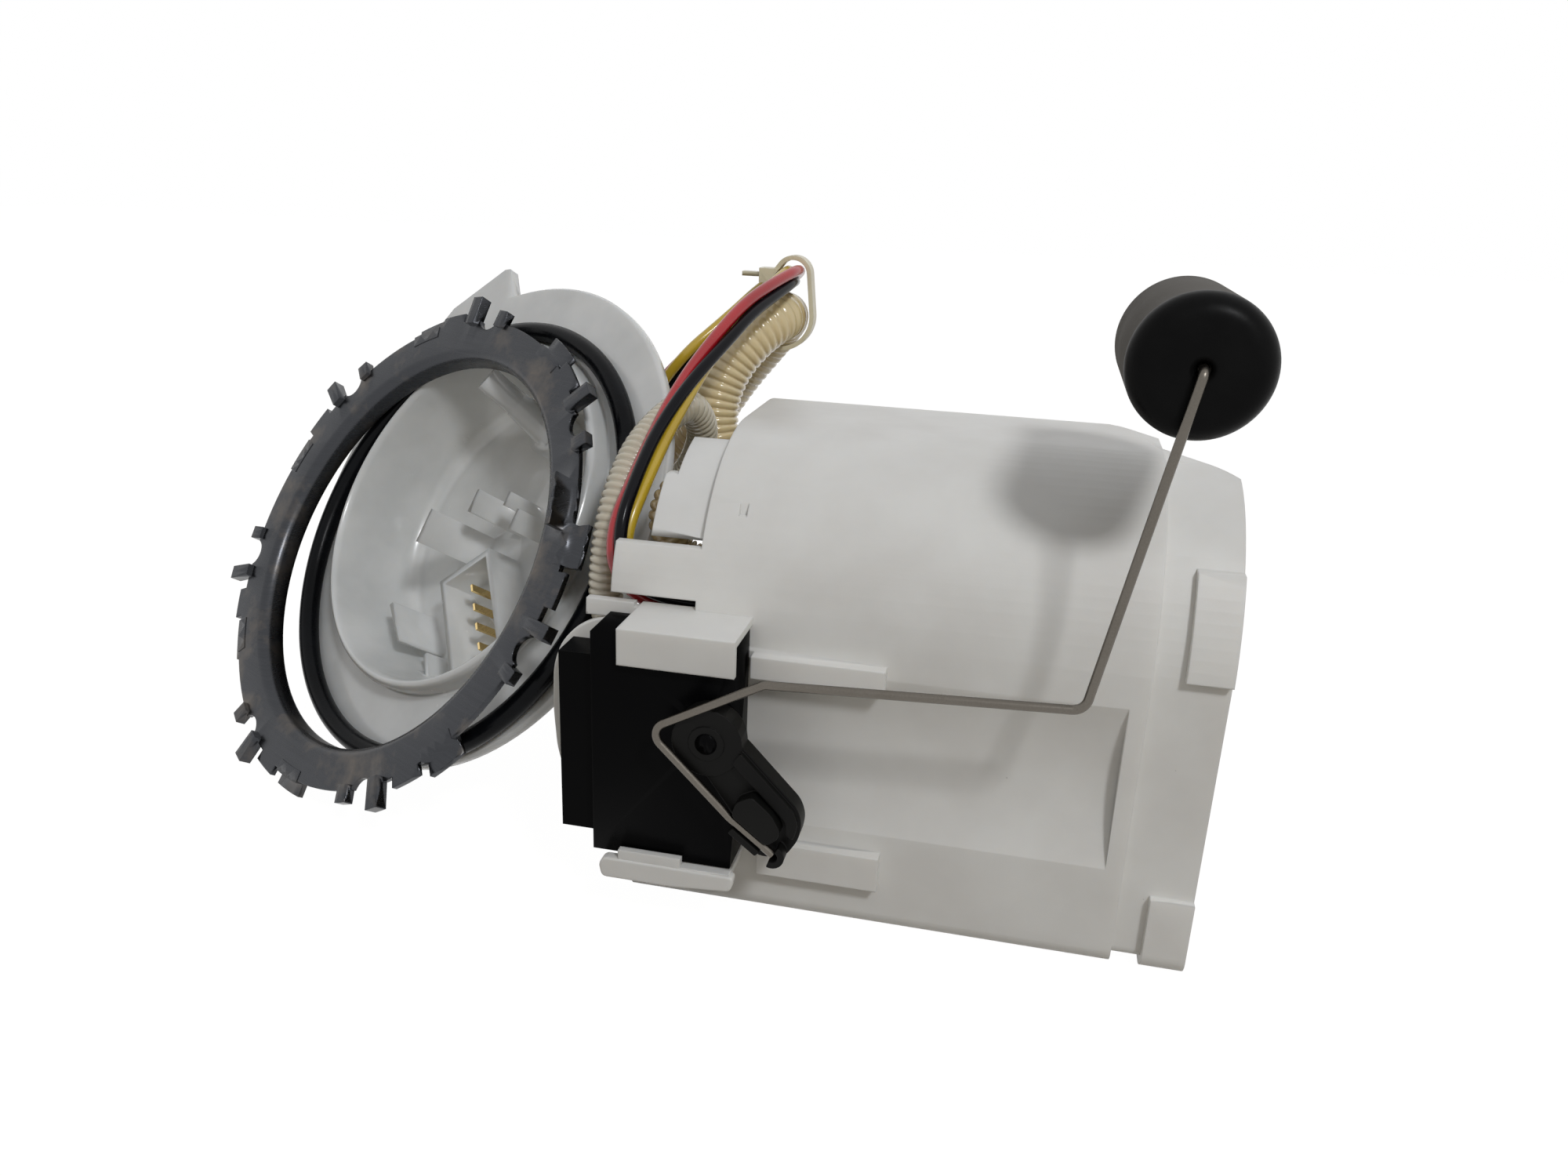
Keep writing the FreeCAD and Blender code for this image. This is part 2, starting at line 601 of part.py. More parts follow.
def make_filter():
    """Ring filter round the pump: housing with a lid and a pleated paper ring."""
    inner_wall = s.pump_radius + s.sleeve_wall + 0.1
    length = s.housing_length
    wall = s.housing_wall
    filter_in = inner_wall + wall + 0.4
    housing = turned([
        (inner_wall, 0), (inner_wall + wall, 0), (inner_wall + wall, length - wall),
        (s.housing_radius - wall, length - wall), (s.housing_radius - wall, 0), (s.housing_radius, 0),
        (s.housing_radius, length), (inner_wall, length),
    ])
    at = s.housing_x - s.pump_x
    keep(on_pump(housing, at), "filter_housing")
    lid = turned([
        (inner_wall, -wall - 0.05), (s.housing_radius, -wall - 0.05), (s.housing_radius, -0.05),
        (inner_wall, -0.05),
    ])
    feed = FEED_ROUTE[0]
    spigot_length = at + s.pump_x - wall - feed[0] - 0.05
    spigot = rod(s.spigot_radius, spigot_length, s.pump_z - feed[2], feed[1] - s.pump_y,
                 -wall - spigot_length)
    keep(on_pump(fused(lid, spigot), at), "filter_lid")
    outer = s.housing_radius - wall - 0.4
    pleats = ring(outer, filter_in, s.filter_length, 3)
    grooves = []
    for step in range(int(s.pleat_count.value)):
        angle = 360.0 * step / s.pleat_count.value
        groove = box(outer - 2.6, -0.7, 2, 4, 1.4, s.filter_length + 2)
        groove.setExpression("Placement", "placement(vector(0; 0; 0); rotation({:.3f}; 0; 0)) * "
                             "placement(vector({}; -0.7; 2); rotation(0; 0; 0))".format(angle, (outer - 2.6).text))
        grooves.append(groove)
    keep(on_pump(cut(pleats, *grooves), at), "filter_element")


def make_pot_fittings():
    """Strainer, cradle, jet pump, foot valve and pressure regulator inside the pot."""
    end = s.pump_length + 2
    strainer = turned([
        (0.01, end + 0.05), (6, end + 0.05), (6, end + 2), (s.strainer_radius, end + 2.4),
        (s.strainer_radius, end + 2 + s.strainer_thickness), (0.01, end + 2 + s.strainer_thickness),
    ])
    keep(on_pump(strainer), "inlet_strainer")
    gap = 0.3
    low = s.pump_z - s.housing_radius - gap
    ribs = []
    for offset in (6, s.housing_length - 10):
        rib = box(s.housing_x + offset, s.pump_y - 24, s.pot_wall + gap, 4, 48, s.pump_z - s.pot_wall - gap)
        ribs.append(rib)
    base = box(s.housing_x + 6, s.pump_y - 24, s.pot_wall + gap, s.housing_length - 12, 48, 3)
    saddle = rod(s.housing_radius + gap, s.housing_length + 10, s.housing_x - 5, s.pump_y, s.pump_z, 0, 90, 0)
    clear = box(s.housing_x - 2, s.pump_y - 40, s.pump_z - 16, s.housing_length + 8, 80, 80)
    keep(cut(fused(base, *ribs), saddle, clear), "filter_cradle")
    inside = s.end_x - s.pot_wall
    level = s.pot_wall + s.band_depth + s.jet_radius + gap
    first = s.nozzle_length + 2
    mouth = first + s.jet_length
    jet = turned([
        (3.4, first), (s.jet_radius, first), (s.jet_radius, first + 9), (s.jet_radius - 1.2, first + 14),
        (s.jet_radius - 1.2, mouth), (2.6, mouth), (2.6, first + 8),
    ])
    foot = box(-s.jet_radius - gap + 0.1, -1.5, first + 2, s.jet_radius, 3, 6)
    bore = rod(2.7, s.jet_length, 0, 0, first + 1)
    keep(place(cut(fused(jet, foot), bore), inside, s.jet_y, level, 180, 90, 0), "jet_pump_tube")
    nozzle = turned([
        (0.6, 0.05), (s.jet_radius, 0.05), (s.jet_radius, 2), (3, 2.4), (3, s.nozzle_length - 5),
        (1.4, s.nozzle_length), (0.6, s.nozzle_length),
    ])
    keep(place(nozzle, inside, s.jet_y, level, 180, 90, 0), "jet_nozzle")
    plate_thick = 1.4
    stem_end = plate_thick + s.pot_wall + 0.1 + s.foot_travel + 0.1
    flap = turned([
        (0.01, 0), (s.foot_radius, 0), (s.foot_radius, plate_thick), (s.foot_stem, plate_thick),
        (s.foot_stem, stem_end), (s.foot_stem + 0.9, stem_end), (s.foot_stem + 0.9, stem_end + 0.9),
        (0.01, stem_end + 0.9),
    ])
    keep(place(flap, inside - plate_thick - 0.05, s.foot_y, s.foot_z, 0, 90, 0), "foot_valve")
    make_regulator()


def coil_spring(radius, height, turns, thickness, sides=6):
    """A coil of round wire round the Z axis, as a tube whose corners lie on the helix."""
    points = []
    for step in range(int(turns * sides) + 1):
        angle = 2 * math.pi * step / sides
        points.append(FreeCAD.Vector(radius * math.cos(angle), radius * math.sin(angle),
                                     height * step / (turns * sides)))
    return tube(points, thickness)


def make_regulator():
    """Pressure regulator: can, closing cap, sprung valve and its coil spring."""
    wall = 1.2
    radius = s.regulator_radius
    length = s.regulator_length
    can = turned([
        (2.2, 0), (radius, 0), (radius, length), (radius - wall, length), (radius - wall, wall), (2.2, wall),
    ])
    regulator_x = s.cover_x + s.cover_plate + 0.05
    at = [regulator_x, s.regulator_y, s.regulator_z, 0, 90, 0]
    keep(place(can, *at), "regulator_can")
    cap = turned([
        (1.6, length + 0.05), (radius, length + 0.05), (radius, length + wall), (1.6, length + wall),
    ])
    keep(place(cap, *at), "regulator_cap")
    valve = turned([
        (0.01, wall + 0.3), (s.spring_radius + 1.4, wall + 0.3), (s.spring_radius + 1.4, wall + 1.5),
        (1.8, wall + 1.5), (1.8, wall + 4), (0.01, wall + 4),
    ])
    keep(place(valve, *at), "regulator_valve")
    bottom = wall + 1.5 + s.regulator_travel + s.spring_wire / 2 + 0.2
    top = length - s.spring_wire / 2 - 0.1
    coil = doc.addObject("Part::Feature", "regulator_coil")
    coil.Shape = coil_spring(s.spring_radius.value, (top - bottom).value, s.spring_turns.value, s.spring_wire.value)
    coil.setExpression("Placement", "placement(vector({}; {}; {}); rotation(0; 90; 0))".format(
        (regulator_x + bottom).text, s.regulator_y.text, s.regulator_z.text))
    keep(coil, "regulator_spring")


def facing(item):
    """Sensor pieces: local x is world X, local y is world Z, local z points at the viewer."""
    return place(item, 0, 0, 0, 0, 0, 90)


def capsule(x1, y1, r1, x2, y2, r2, thickness, start):
    """A tapered link between two round ends, as one outline hulled from both circles."""
    ends = [rod(r1, thickness, x1, y1, start), rod(r2, thickness, x2, y2, start)]
    across = (float(x2) - float(x1), float(y2) - float(y1))
    reach = math.hypot(*across)
    base_angle = math.atan2(across[1], across[0])
    spread = math.acos((float(r1) - float(r2)) / reach)
    corners = []
    for x, y, r, sign in ((x1, y1, r1, 1), (x2, y2, r2, 1), (x2, y2, r2, -1), (x1, y1, r1, -1)):
        angle = base_angle + sign * spread
        corners.append((x + r * math.cos(angle), y + r * math.sin(angle)))
    return fused(plate(corners, thickness, start), *ends)


def make_sensor():
    """Level sensor: housing, plug block, resistor card, lever, wire and float."""
    depth = s.sensor_front - s.sensor_back
    width = s.sensor_right - s.sensor_left
    height = s.sensor_high - s.sensor_low
    wall = s.sensor_wall
    shell = box(s.sensor_left, s.sensor_low, s.sensor_back, width, height, depth)
    hollow = box(s.sensor_left + wall, s.sensor_low + wall, s.sensor_back - 1, width - 2 * wall,
                 height - 2 * wall, depth - wall + 1)
    pin = rod(s.hub_pin, wall + s.lever_thickness + s.lever_gap + 0.6, s.hub_x, s.hub_z, s.sensor_front - wall)
    housing = fused(cut(shell, hollow), pin)
    keep(facing(housing), "sensor_housing")
    plug = box(s.plug_left, s.plug_low, s.sensor_back + 1, s.sensor_left - s.plug_left, s.plug_high - s.plug_low,
               s.plug_front - s.sensor_back - 1)
    socket = box(s.plug_left - 1, s.plug_low + 6, s.sensor_back + 3, s.sensor_left - s.plug_left - 2,
                 s.plug_high - s.plug_low - 12, s.plug_front - s.sensor_back - 5)
    keep(facing(cut(plug, socket)), "sensor_plug")
    contacts = []
    for step in (-1, 0, 1):
        contacts.append(box(s.plug_left + 1.5, (s.plug_low + s.plug_high) / 2 + 6 * step - 0.75,
                            (s.sensor_back + s.plug_front) / 2 - 0.4, s.sensor_left - s.plug_left - 4.5, 1.5, 0.8))
    keep(facing(group(*contacts)), "sensor_contacts")
    near = s.sensor_left + wall + 0.3
    away = s.sensor_right - wall - 0.3
    under = s.sensor_low + wall + 0.3
    over = s.sensor_high - wall - 0.3
    card = plate([(near, under), (away, under), (away, over), (near, over)], 1, s.sensor_back + 3)
    keep(facing(card), "resistor_card")
    start = s.sensor_front + s.lever_gap
    lever = capsule(s.hub_x, s.hub_z, s.hub_radius, s.lever_tip_x, s.lever_tip_z, s.lever_tip_radius,
                    s.lever_thickness, start)
    bore = rod(s.hub_pin + 0.05, s.lever_thickness + 2, s.hub_x, s.hub_z, start - 1)
    keep(facing(cut(lever, bore)), "float_lever")
    make_arm()


WIRE_KNEES = [(-20.6, 30.6), (-31.0, 38.6), (-50.4, 57.6), (-24.0, 72.0), (43.0, 75.3), (56.0, 145.0)]


def make_arm():
    """Bent wire from the lever to the float, and the float that turns on its end."""
    plane = -s.arm_plane.value
    route = [FreeCAD.Vector(x, plane, z) for x, z in WIRE_KNEES]
    route[-1] = FreeCAD.Vector(s.float_x.value, plane, s.float_z.value)
    tail = route[-1] + FreeCAD.Vector(0, s.float_length.value * 0.8, 0)
    bends = [s.arm_bend.value] * (len(route) - 2) + [s.arm_end_bend.value]
    wire = tube(route + [tail], s.arm_wire.value, bends)
    arm = doc.addObject("Part::Feature", "arm_wire")
    arm.Shape = wire
    keep(arm, "float_wire")
    radius = s.float_radius
    length = s.float_length
    round_off = 5
    bore = s.arm_wire / 2 + s.float_bore_gap
    body = turned([
        (bore, 0), (radius - round_off, 0), (radius, round_off), (radius, length - 1.2), (radius - 1.2, length),
        (bore, length),
    ])
    place(body, s.float_x, -s.float_face, s.float_z, 0, 0, -90)
    keep(body, "float")


def tube(points, diameter, bends=()):
    """A round solid along straight runs joined by tangent arcs."""
    edges = []
    radii = []
    start = points[0]
    for index in range(1, len(points) - 1):
        before = points[index] - points[index - 1]
        after = points[index + 1] - points[index]
        turn = before.getAngle(after)
        shorter = min(before.Length, after.Length)
        radius = 0.45 * shorter / math.tan(turn / 2)
        if bends:
            radius = min(radius, bends[index - 1])
        setback = radius * math.tan(turn / 2)
        into = points[index] - before.normalize() * setback
        out = points[index] + after.normalize() * setback
        chord = (points[index] - (into + out) * 0.5).normalize()
        centre_gap = radius / math.cos(turn / 2)
        middle = points[index] - chord * (centre_gap - radius)
        edges.append(Part.LineSegment(start, into).toShape())
        edges.append(Part.Arc(into, middle, out).toShape())
        radii.append(radius)
        start = out
    edges.append(Part.LineSegment(start, points[-1]).toShape())
    path = Part.Wire(edges)
    first = points[1] - points[0]
    profile = Part.Wire(Part.makeCircle(diameter / 2, points[0], first))
    solid = path.makePipeShell([profile], True, False)
    expected = math.pi * diameter * diameter / 4 * path.Length
    print("tube {:.1f} mm thick, {:.0f} mm long, volume ratio {:.4f}, radii {}".format(
        diameter, path.Length, solid.Volume / expected, [round(r, 1) for r in radii]))
    return solid


FEED_ROUTE = [
    (-40, 24, 79), (-53, 24, 79), (-62.5, 24, 91), (-67, 25, 106), (-64.5, 28, 120), (-56.8, 33.3, 131),
    (-50, 42, 136.2), (-51, 52, 134.5), (-59, 57, 125), (-67, 57, 115), (-75, 58, 103), (-87, 63, 88),
    lid_point(0, s.feed_u, -59), lid_point(0, s.feed_u, -37),
]
RETURN_ROUTE = [
    (-40, -42, 49), (-57, -42, 49), (-70, -44, 56), (-75.2, -43.5, 70), (-74.7, -43, 85), (-74, -36.5, 98),
    (-72, -24.5, 109), (-67.5, -9.5, 115.5), lid_point(68, 50.5, -3), lid_point(63, 46, -17),
    lid_point(48, 33, -30), lid_point(s.return_v, s.return_u, -31),
]
JET_ROUTE = [
    (-40, -36, 81), (-54, -36, 81), (-61.5, -38, 90), (-60.5, -36, 99.5), (-53, -29, 103), (-40, -29, 103),
]
WIRE_ROUTE = [
    lid_point(s.plug_v, s.plug_u, -37), lid_point(10, -25, -50), lid_point(16, 0, -57),
    lid_point(19, 33, -42), (-93, 41, 105), (-79, 36, 122), (-67.2, 45, 132.4), (-57.3, 53, 142.6),
    (-48.8, 51.5, 147.2), (-46.2, 37, 148.8), (-49.5, 26, 145.8), (-55, 12, 141), (-59.5, -2, 133),
    (-64.5, -16, 123), (-67.5, -29, 112.5), (-67.5, -41, 104), (-68.5, -50.5, 94), (-68, -52, 83),
    (-58, -51, 75.5), (-46, -51, 75.5),
]
WIRE_TWIST = [0] * 7 + [-5, -15, -30, -45] + [-60] * 4 + [-50, -35] + [-25] * 3
WIRE_SPREAD = (0.766, -0.071, -0.639)
WIRE_ANGLES = {"red_wire": 150, "black_wire": 270, "yellow_wire": 30}
GROMMET_RADIUS = 6.5


def cord(label, route, diameter):
    """A hose or wire as a plain tube along its chosen points."""
    item = doc.addObject("Part::Feature", label)
    item.Shape = tube([FreeCAD.Vector(*point) for point in route], diameter.value)
    return keep(item, label)


def strand_route(angle):
    """One wire of the bundle: it keeps its place round the middle line, turned by the listed twist."""
    middle = [FreeCAD.Vector(*point) for point in WIRE_ROUTE]
    spread = FreeCAD.Vector(*WIRE_SPREAD)
    route = []
    for index, point in enumerate(middle):
        along = middle[min(index + 1, len(middle) - 1)] - middle[max(index - 1, 0)]
        along.normalize()
        spread = spread - along * spread.dot(along)
        spread.normalize()
        other = spread.cross(along)
        turn = math.radians(angle + WIRE_TWIST[index])
        offset = (spread * math.cos(turn) + other * math.sin(turn)) * s.bundle_radius.value
        route.append(tuple(point + offset))
    return route


def make_cords():
    """Hoses, wires and the rubber grommet that takes the wires through the cover."""
    cord("feed_hose", FEED_ROUTE, s.feed_hose)
    cord("return_hose", RETURN_ROUTE, s.return_hose)
    cord("jet_hose", JET_ROUTE, s.jet_hose)
    for label, angle in WIRE_ANGLES.items():
        cord(label, strand_route(angle), s.wire_size)
    end = WIRE_ROUTE[-1]
    shoulder = s.cover_x - end[0] - 0.05
    grommet = turned([
        (0.01, 0.6), (GROMMET_RADIUS - 1, 0.6), (GROMMET_RADIUS, 1.2), (GROMMET_RADIUS, shoulder),
        (GROMMET_RADIUS - 1.6, shoulder), (GROMMET_RADIUS - 1.6, shoulder + s.cover_plate + 1),
        (0.01, shoulder + s.cover_plate + 1),
    ])
    keep(place(grommet, *end, 0, 90, 0), "wire_grommet")


def make_flange():
    """Tank flange: sealing disc, raised cup with a recess, skirt, outlet nipple and socket walls."""
    wall = s.lid_wall
    depth = s.dish_depth
    disc = s.disc_radius
    thick = s.disc_thickness
    cup = s.cup_radius
    high = s.cup_height
    dish = s.dish_radius
    floor = s.dish_floor_radius
    skirt = s.skirt_radius
    outline = [
        (0.01, -depth - wall), (floor + wall - 2, -depth - wall), (floor + wall + 0.5, -depth - wall + 2.5),
        (dish + wall - 0.6, -thick), (skirt - wall, -thick), (skirt - wall, -thick - s.skirt_depth),
        (skirt, -thick - s.skirt_depth), (skirt, -thick), (disc - 1, -thick), (disc, -thick + 1), (disc, -1),
        (disc - 1, 0), (cup + 0.8, 0), (cup, 0.8), (cup, high - 2.6), (cup - 0.8, high - 0.8),
        (cup - 2, high - 0.1), (dish + 0.2, high - 0.4), (dish - 0.6, high - 2.4), (floor + 1.6, -depth + 5),
        (floor, -depth + 1.8), (floor - 3, -depth), (0.01, -depth),
    ]
    body = turned(outline)
    tooth = plate([(-28.4, 68), (-28.4, 72.2), (-36.5, 81), (-39, 80.5), (-57, 64), (-67, 42), (-60, 40)], thick - 0.6,
                  -thick + 0.3)
    lean_turn = 150.9
    lean_tilt = 31
    base = (-0.6, 34.7, -16.5)
    boss = rod(s.nipple_radius * 1.85, depth - 15 + 2, base[0], base[1], -depth - 1)
    nipple = rod(s.nipple_radius, s.nipple_length, base[0], base[1], base[2], lean_turn, lean_tilt, 0)
    root = doc.addObject("Part::Cone", fresh("cone"))
    bind(root, "Radius1", s.nipple_radius * 1.4)
    bind(root, "Radius2", s.nipple_radius + 0.25)
    bind(root, "Height", s.nipple_length * 0.55)
    place(root, base[0], base[1], base[2], lean_turn, lean_tilt, 0)
    outlet = fused(boss, nipple, root)
    additions = socket_walls()
    back = -depth - wall
    additions.append(rod(s.spigot_radius, 14, 0, s.feed_u, -37 + 0.05))
    elbow = rod(s.spigot_radius + 2, s.spigot_depth + 4.3, s.return_v - 6, s.return_u - 4.2, back - 12)
    turn_out = rod(s.spigot_radius, 7.2, s.return_v - 6.4, s.return_u - 4.3, -31, 34.5, 90, 0)
    additions += [elbow, turn_out]
    bore = rod(s.nipple_bore, s.nipple_length + 2, base[0] - 0.9, base[1] + 0.5, base[2] + 1.7, lean_turn, lean_tilt, 0)
    riser = rod(s.nipple_bore - 0.4, 22, 0, s.feed_u, -38)
    solid = body
    for addition in [tooth, outlet] + additions:
        solid = fused(solid, addition)
    flange = cut(cut(solid, bore), riser)
    return keep(in_lid(flange), "flange")


def socket_walls():
    """Electrical socket with its latch fins, turned 45 degrees on the dish floor."""
    low = -s.dish_depth - 0.5
    corner = (-11, -22)
    turn = -45
    length = s.socket_length
    width = s.socket_width
    wall = s.socket_wall
    outer = box(0, 0, 0, length, width, s.socket_height + 0.5)
    hollow = box(wall, wall, 3, length - 2 * wall, width - 2 * wall, s.socket_height)
    shell = cut(outer, hollow)
    place(shell, corner[0], corner[1], low, turn, 0, 0)
    fins = [
        (box(-13.4, -13.5, low, 1.6, 11, 26), None),
        (box(-1, 1, low, 1.6, 7.5, 22.4), None),
        (box(13, 6.5, low, 1.6, 4.5, 22), None),
        (box(20, 0.5, low, 1.6, 6.5, 22), None),
    ]
    walls = [shell] + [fin for fin, _ in fins]
    side = box(0, -0.8, 0, 15, 1.6, 18)
    place(side, -23.5, -35, low, turn + 8, 0, 0)
    foot = box(0, -0.8, 0, 9, 1.6, 9)
    place(foot, -9, -45, low, turn, 0, 0)
    return walls + [side, foot]


def make_lid_set():
    """Flange with its blades, the loose seal and the lock ring."""
    make_flange()
    blades = []
    for step in range(4):
        blade = box(0, -0.4, 0, 2.4, 0.8, 9)
        along = 7 + 7 * step
        cosine = math.cos(math.radians(-45))
        sine = math.sin(math.radians(-45))
        across = 11
        place(blade, -11 + along * cosine - across * sine, -22 + along * sine + across * cosine,
              -s.dish_depth + 2.5, -45, 0, 0)
        blades.append(blade)
    keep(in_lid(group(*blades)), "socket_blades")
    plug = box(s.plug_v - 9, s.plug_u - 6, -36.3, 18, 12, 36.3 - s.dish_depth - s.lid_wall - 0.05)
    latch = box(s.plug_v - 3, s.plug_u + 5.5, -35, 6, 1.6, 8)
    keep(in_lid(fused(plug, latch)), "flange_plug")
    seal = doc.addObject("Part::Torus", "seal_ring")
    bind(seal, "Radius1", s.seal_radius)
    bind(seal, "Radius2", s.seal_section)
    in_lid(seal, s.seal_v, s.seal_u, s.seal_section + 0.3)
    keep(seal, "flange_seal")
    make_lock_ring()


def sector(inner, outer, first, last, thickness, start):
    """A flat ring sector between two angles, in the lock ring's plane."""
    corners = []
    steps = 4
    for step in range(steps + 1):
        angle = math.radians(first + (last - first) * step / steps)
        corners.append((outer * math.sin(angle), outer * math.cos(angle)))
    for step in range(steps, -1, -1):
        angle = math.radians(first + (last - first) * step / steps)
        corners.append((inner * math.sin(angle), inner * math.cos(angle)))
    return plate(corners[::-1], thickness, start)


def make_lock_ring():
    """Pressed steel lock ring: flat band, rolled inner collar and seven groups of lugs."""
    sheet_size = s.ring_sheet
    inner = s.ring_inner
    collar = s.ring_collar
    bend = s.ring_bend
    band = turned([
        (inner, -collar), (inner + sheet_size, -collar), (inner + sheet_size, -bend),
        (inner + sheet_size + bend * 0.3, -bend * 0.75), (inner + bend, -sheet_size), (s.ring_outer, -sheet_size),
        (s.ring_outer, 0), (inner + bend, 0), (inner + bend * 0.35, -bend * 0.3), (inner, -bend),
    ])
    parts = [band]
    pitch = 360.0 / s.lug_count.value
    edge = s.ring_outer - 2
    for step in range(int(s.lug_count.value)):
        at = 24.5 + pitch * step
        parts.append(sector(edge, s.pad_radius, at - 4.5, at + 4.5, sheet_size, -sheet_size - 2.2))
        parts.append(sector(edge - 1, s.ring_outer + 0.5, at - 4.5, at + 4.5, 2.4 + sheet_size, -sheet_size - 2.2))
        parts.append(sector(edge, s.ring_outer + 3, at + 6, at + 13.5, sheet_size, -sheet_size))
        parts.append(sector(s.ring_outer - 1.5, s.hook_radius, at + 16.5, at + 19.5, sheet_size * 2.2, -sheet_size))
        parts.append(sector(s.ring_outer - 1.5, s.ring_outer + 3.6, at + 27, at + 30, sheet_size * 1.8, -sheet_size))
    parts.append(sector(s.ring_outer - 4, s.ring_outer - 2.4, 61, 73, s.strip_height, -sheet_size))
    ring_solid = fused(*parts)
    scoops = []
    for step in range(int(s.lug_count.value)):
        middle = 24.5 + pitch * step + 23.3
        angle = math.radians(middle)
        reach = s.ring_outer + 1.6
        scoops.append(rod(4.4, 12, reach * math.sin(angle), reach * math.cos(angle), -5))
    ring_solid = cut(ring_solid, *scoops)
    in_lid(ring_solid, s.ring_v, s.ring_u, s.ring_lift)
    keep(ring_solid, "lock_ring")


def make_tie():
    """Cable tie round the feed hose and the wires at the top of their bend."""
    hose = (-50.7, 135.9)
    wires = (-47.3, 148.1)
    start = -45.6
    grow = s.tie_thickness
    outer = capsule(*hose, s.tie_hose_radius + grow, *wires, s.tie_wire_radius + grow, s.tie_width, start)
    inner = capsule(*hose, s.tie_hose_radius, *wires, s.tie_wire_radius, s.tie_width + 2, start - 1)
    head = box(-57.5, 145.4, start - 0.5, 6.4, 4.2, s.tie_width + 1)
    tail = box(-63, 147, start + 0.8, 8, 1.3, s.tie_width - 1.6)
    keep(facing(cut(fused(outer, head, tail), inner)), "cable_tie")


def check_document():
    """Stops if any object failed or any sub-part's shape is not a sound solid."""
    doc.recompute()
    for item in doc.Objects:
        if "Invalid" in item.State or "Error" in item.State:
            raise RuntimeError("{} did not build: {}".format(item.Label, item.getStatusString()))
    for item in pieces:
        if item.Shape.isNull() or not item.Shape.isValid() or item.Shape.Volume <= 0:
            raise RuntimeError("{} is not a sound solid".format(item.Label))


def write_parts():
    """Writes each sub-part to its own file."""
    os.makedirs("parts", exist_ok=True)
    for item in pieces:
        shape = item.Shape
        print("{}: {} solid(s), {:.0f} cubic mm".format(item.Label, len(shape.Solids), shape.Volume))
        shape.exportStep("parts/{}.step".format(item.Label))


make_pot()
make_cover()
make_pump()
make_filter()
make_pot_fittings()
make_sensor()
make_cords()
make_lid_set()
make_tie()
check_document()
write_parts()
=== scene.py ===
"""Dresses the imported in-tank fuel pump: finishes, hoses, wires, float arm, floor, light and camera.

Lengths in the dataclasses are in millimetres, as on a drawing, and become metres where a mesh is made.
"""

import json
import logging
import math
from dataclasses import dataclass, field
from enum import Enum
from typing import Sequence

import bmesh
import bpy
import numpy as np
from mathutils import Matrix, Vector


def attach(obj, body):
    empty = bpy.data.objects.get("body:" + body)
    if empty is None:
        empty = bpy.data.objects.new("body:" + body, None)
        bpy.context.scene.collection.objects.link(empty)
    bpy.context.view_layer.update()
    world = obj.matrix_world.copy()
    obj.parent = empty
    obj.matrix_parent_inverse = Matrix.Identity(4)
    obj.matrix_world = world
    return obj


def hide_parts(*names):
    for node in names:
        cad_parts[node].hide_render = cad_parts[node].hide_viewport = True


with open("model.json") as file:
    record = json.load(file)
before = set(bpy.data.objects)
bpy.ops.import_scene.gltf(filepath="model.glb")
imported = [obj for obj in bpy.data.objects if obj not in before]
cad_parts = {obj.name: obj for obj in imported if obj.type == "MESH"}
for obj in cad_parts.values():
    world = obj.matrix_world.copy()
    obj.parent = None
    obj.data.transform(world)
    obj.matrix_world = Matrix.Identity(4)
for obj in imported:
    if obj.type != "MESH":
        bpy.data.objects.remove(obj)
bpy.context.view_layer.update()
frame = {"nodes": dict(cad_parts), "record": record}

MM = 0.001
LOG = logging.getLogger("fuel_pump")

Flat = tuple[float, float]
Point = tuple[float, float, float]
Colour = tuple[float, float, float]

CURVE_STEPS = 24
MERGE_M = 1e-7
SKIN_MERGE_M = 2e-6
BEVEL_LIMIT_DEGREES = 40.0


# ---- frames and curves ----


@dataclass(frozen=True)
class LidFrame:
    """The flange's tilted frame: v and u lie in its face, and n points out of it."""

    centre: Point = (-137.7, 6.1, 74.9)
    turn_degrees: float = -30.5
    lean_degrees: float = 57.49

    def axes(self) -> np.ndarray:
        """The directions v, u and n as rows: the level axis turned, and the face leaned back about it."""
        turn, lean = math.radians(self.turn_degrees), math.radians(self.lean_degrees)
        across = [math.cos(turn), math.sin(turn), 0.0]
        up = [-math.sin(turn) * math.cos(lean), math.cos(turn) * math.cos(lean), math.sin(lean)]
        out = [math.sin(turn) * math.sin(lean), -math.cos(turn) * math.sin(lean), math.cos(lean)]
        return np.array([across, up, out])

    def at(self, v: float, u: float, n: float) -> Point:
        """A point of the flange's frame, in the object's frame."""
        return tuple(np.array(self.centre) + np.array([v, u, n]) @ self.axes())


LID = LidFrame()


def put(name: str, data: bpy.types.ID) -> bpy.types.Object:
    """A new object at the origin that holds the mesh, curve, lamp or camera."""
    piece = bpy.data.objects.new(name, data)
    bpy.context.collection.objects.link(piece)
    return piece


def spline_curve(name: str, route: Sequence[Point]) -> bpy.types.Object:
    """One open NURBS spline whose control points are the route's.

    Args:
        name: The curve object's name.
        route: Points in millimetres.

    Returns:
        The curve object, with no thickness yet.
    """
    curve = bpy.data.curves.new(name, "CURVE")
    curve.dimensions = "3D"
    spline = curve.splines.new("NURBS")
    spline.points.add(len(route) - 1)
    weights = np.ones((len(route), 1))
    spline.points.foreach_set("co", np.hstack([np.array(route) * MM, weights]).ravel())
    spline.order_u = 3
    spline.use_endpoint_u = True
    spline.resolution_u = CURVE_STEPS
    curve.resolution_u = CURVE_STEPS
    return put(name, curve)


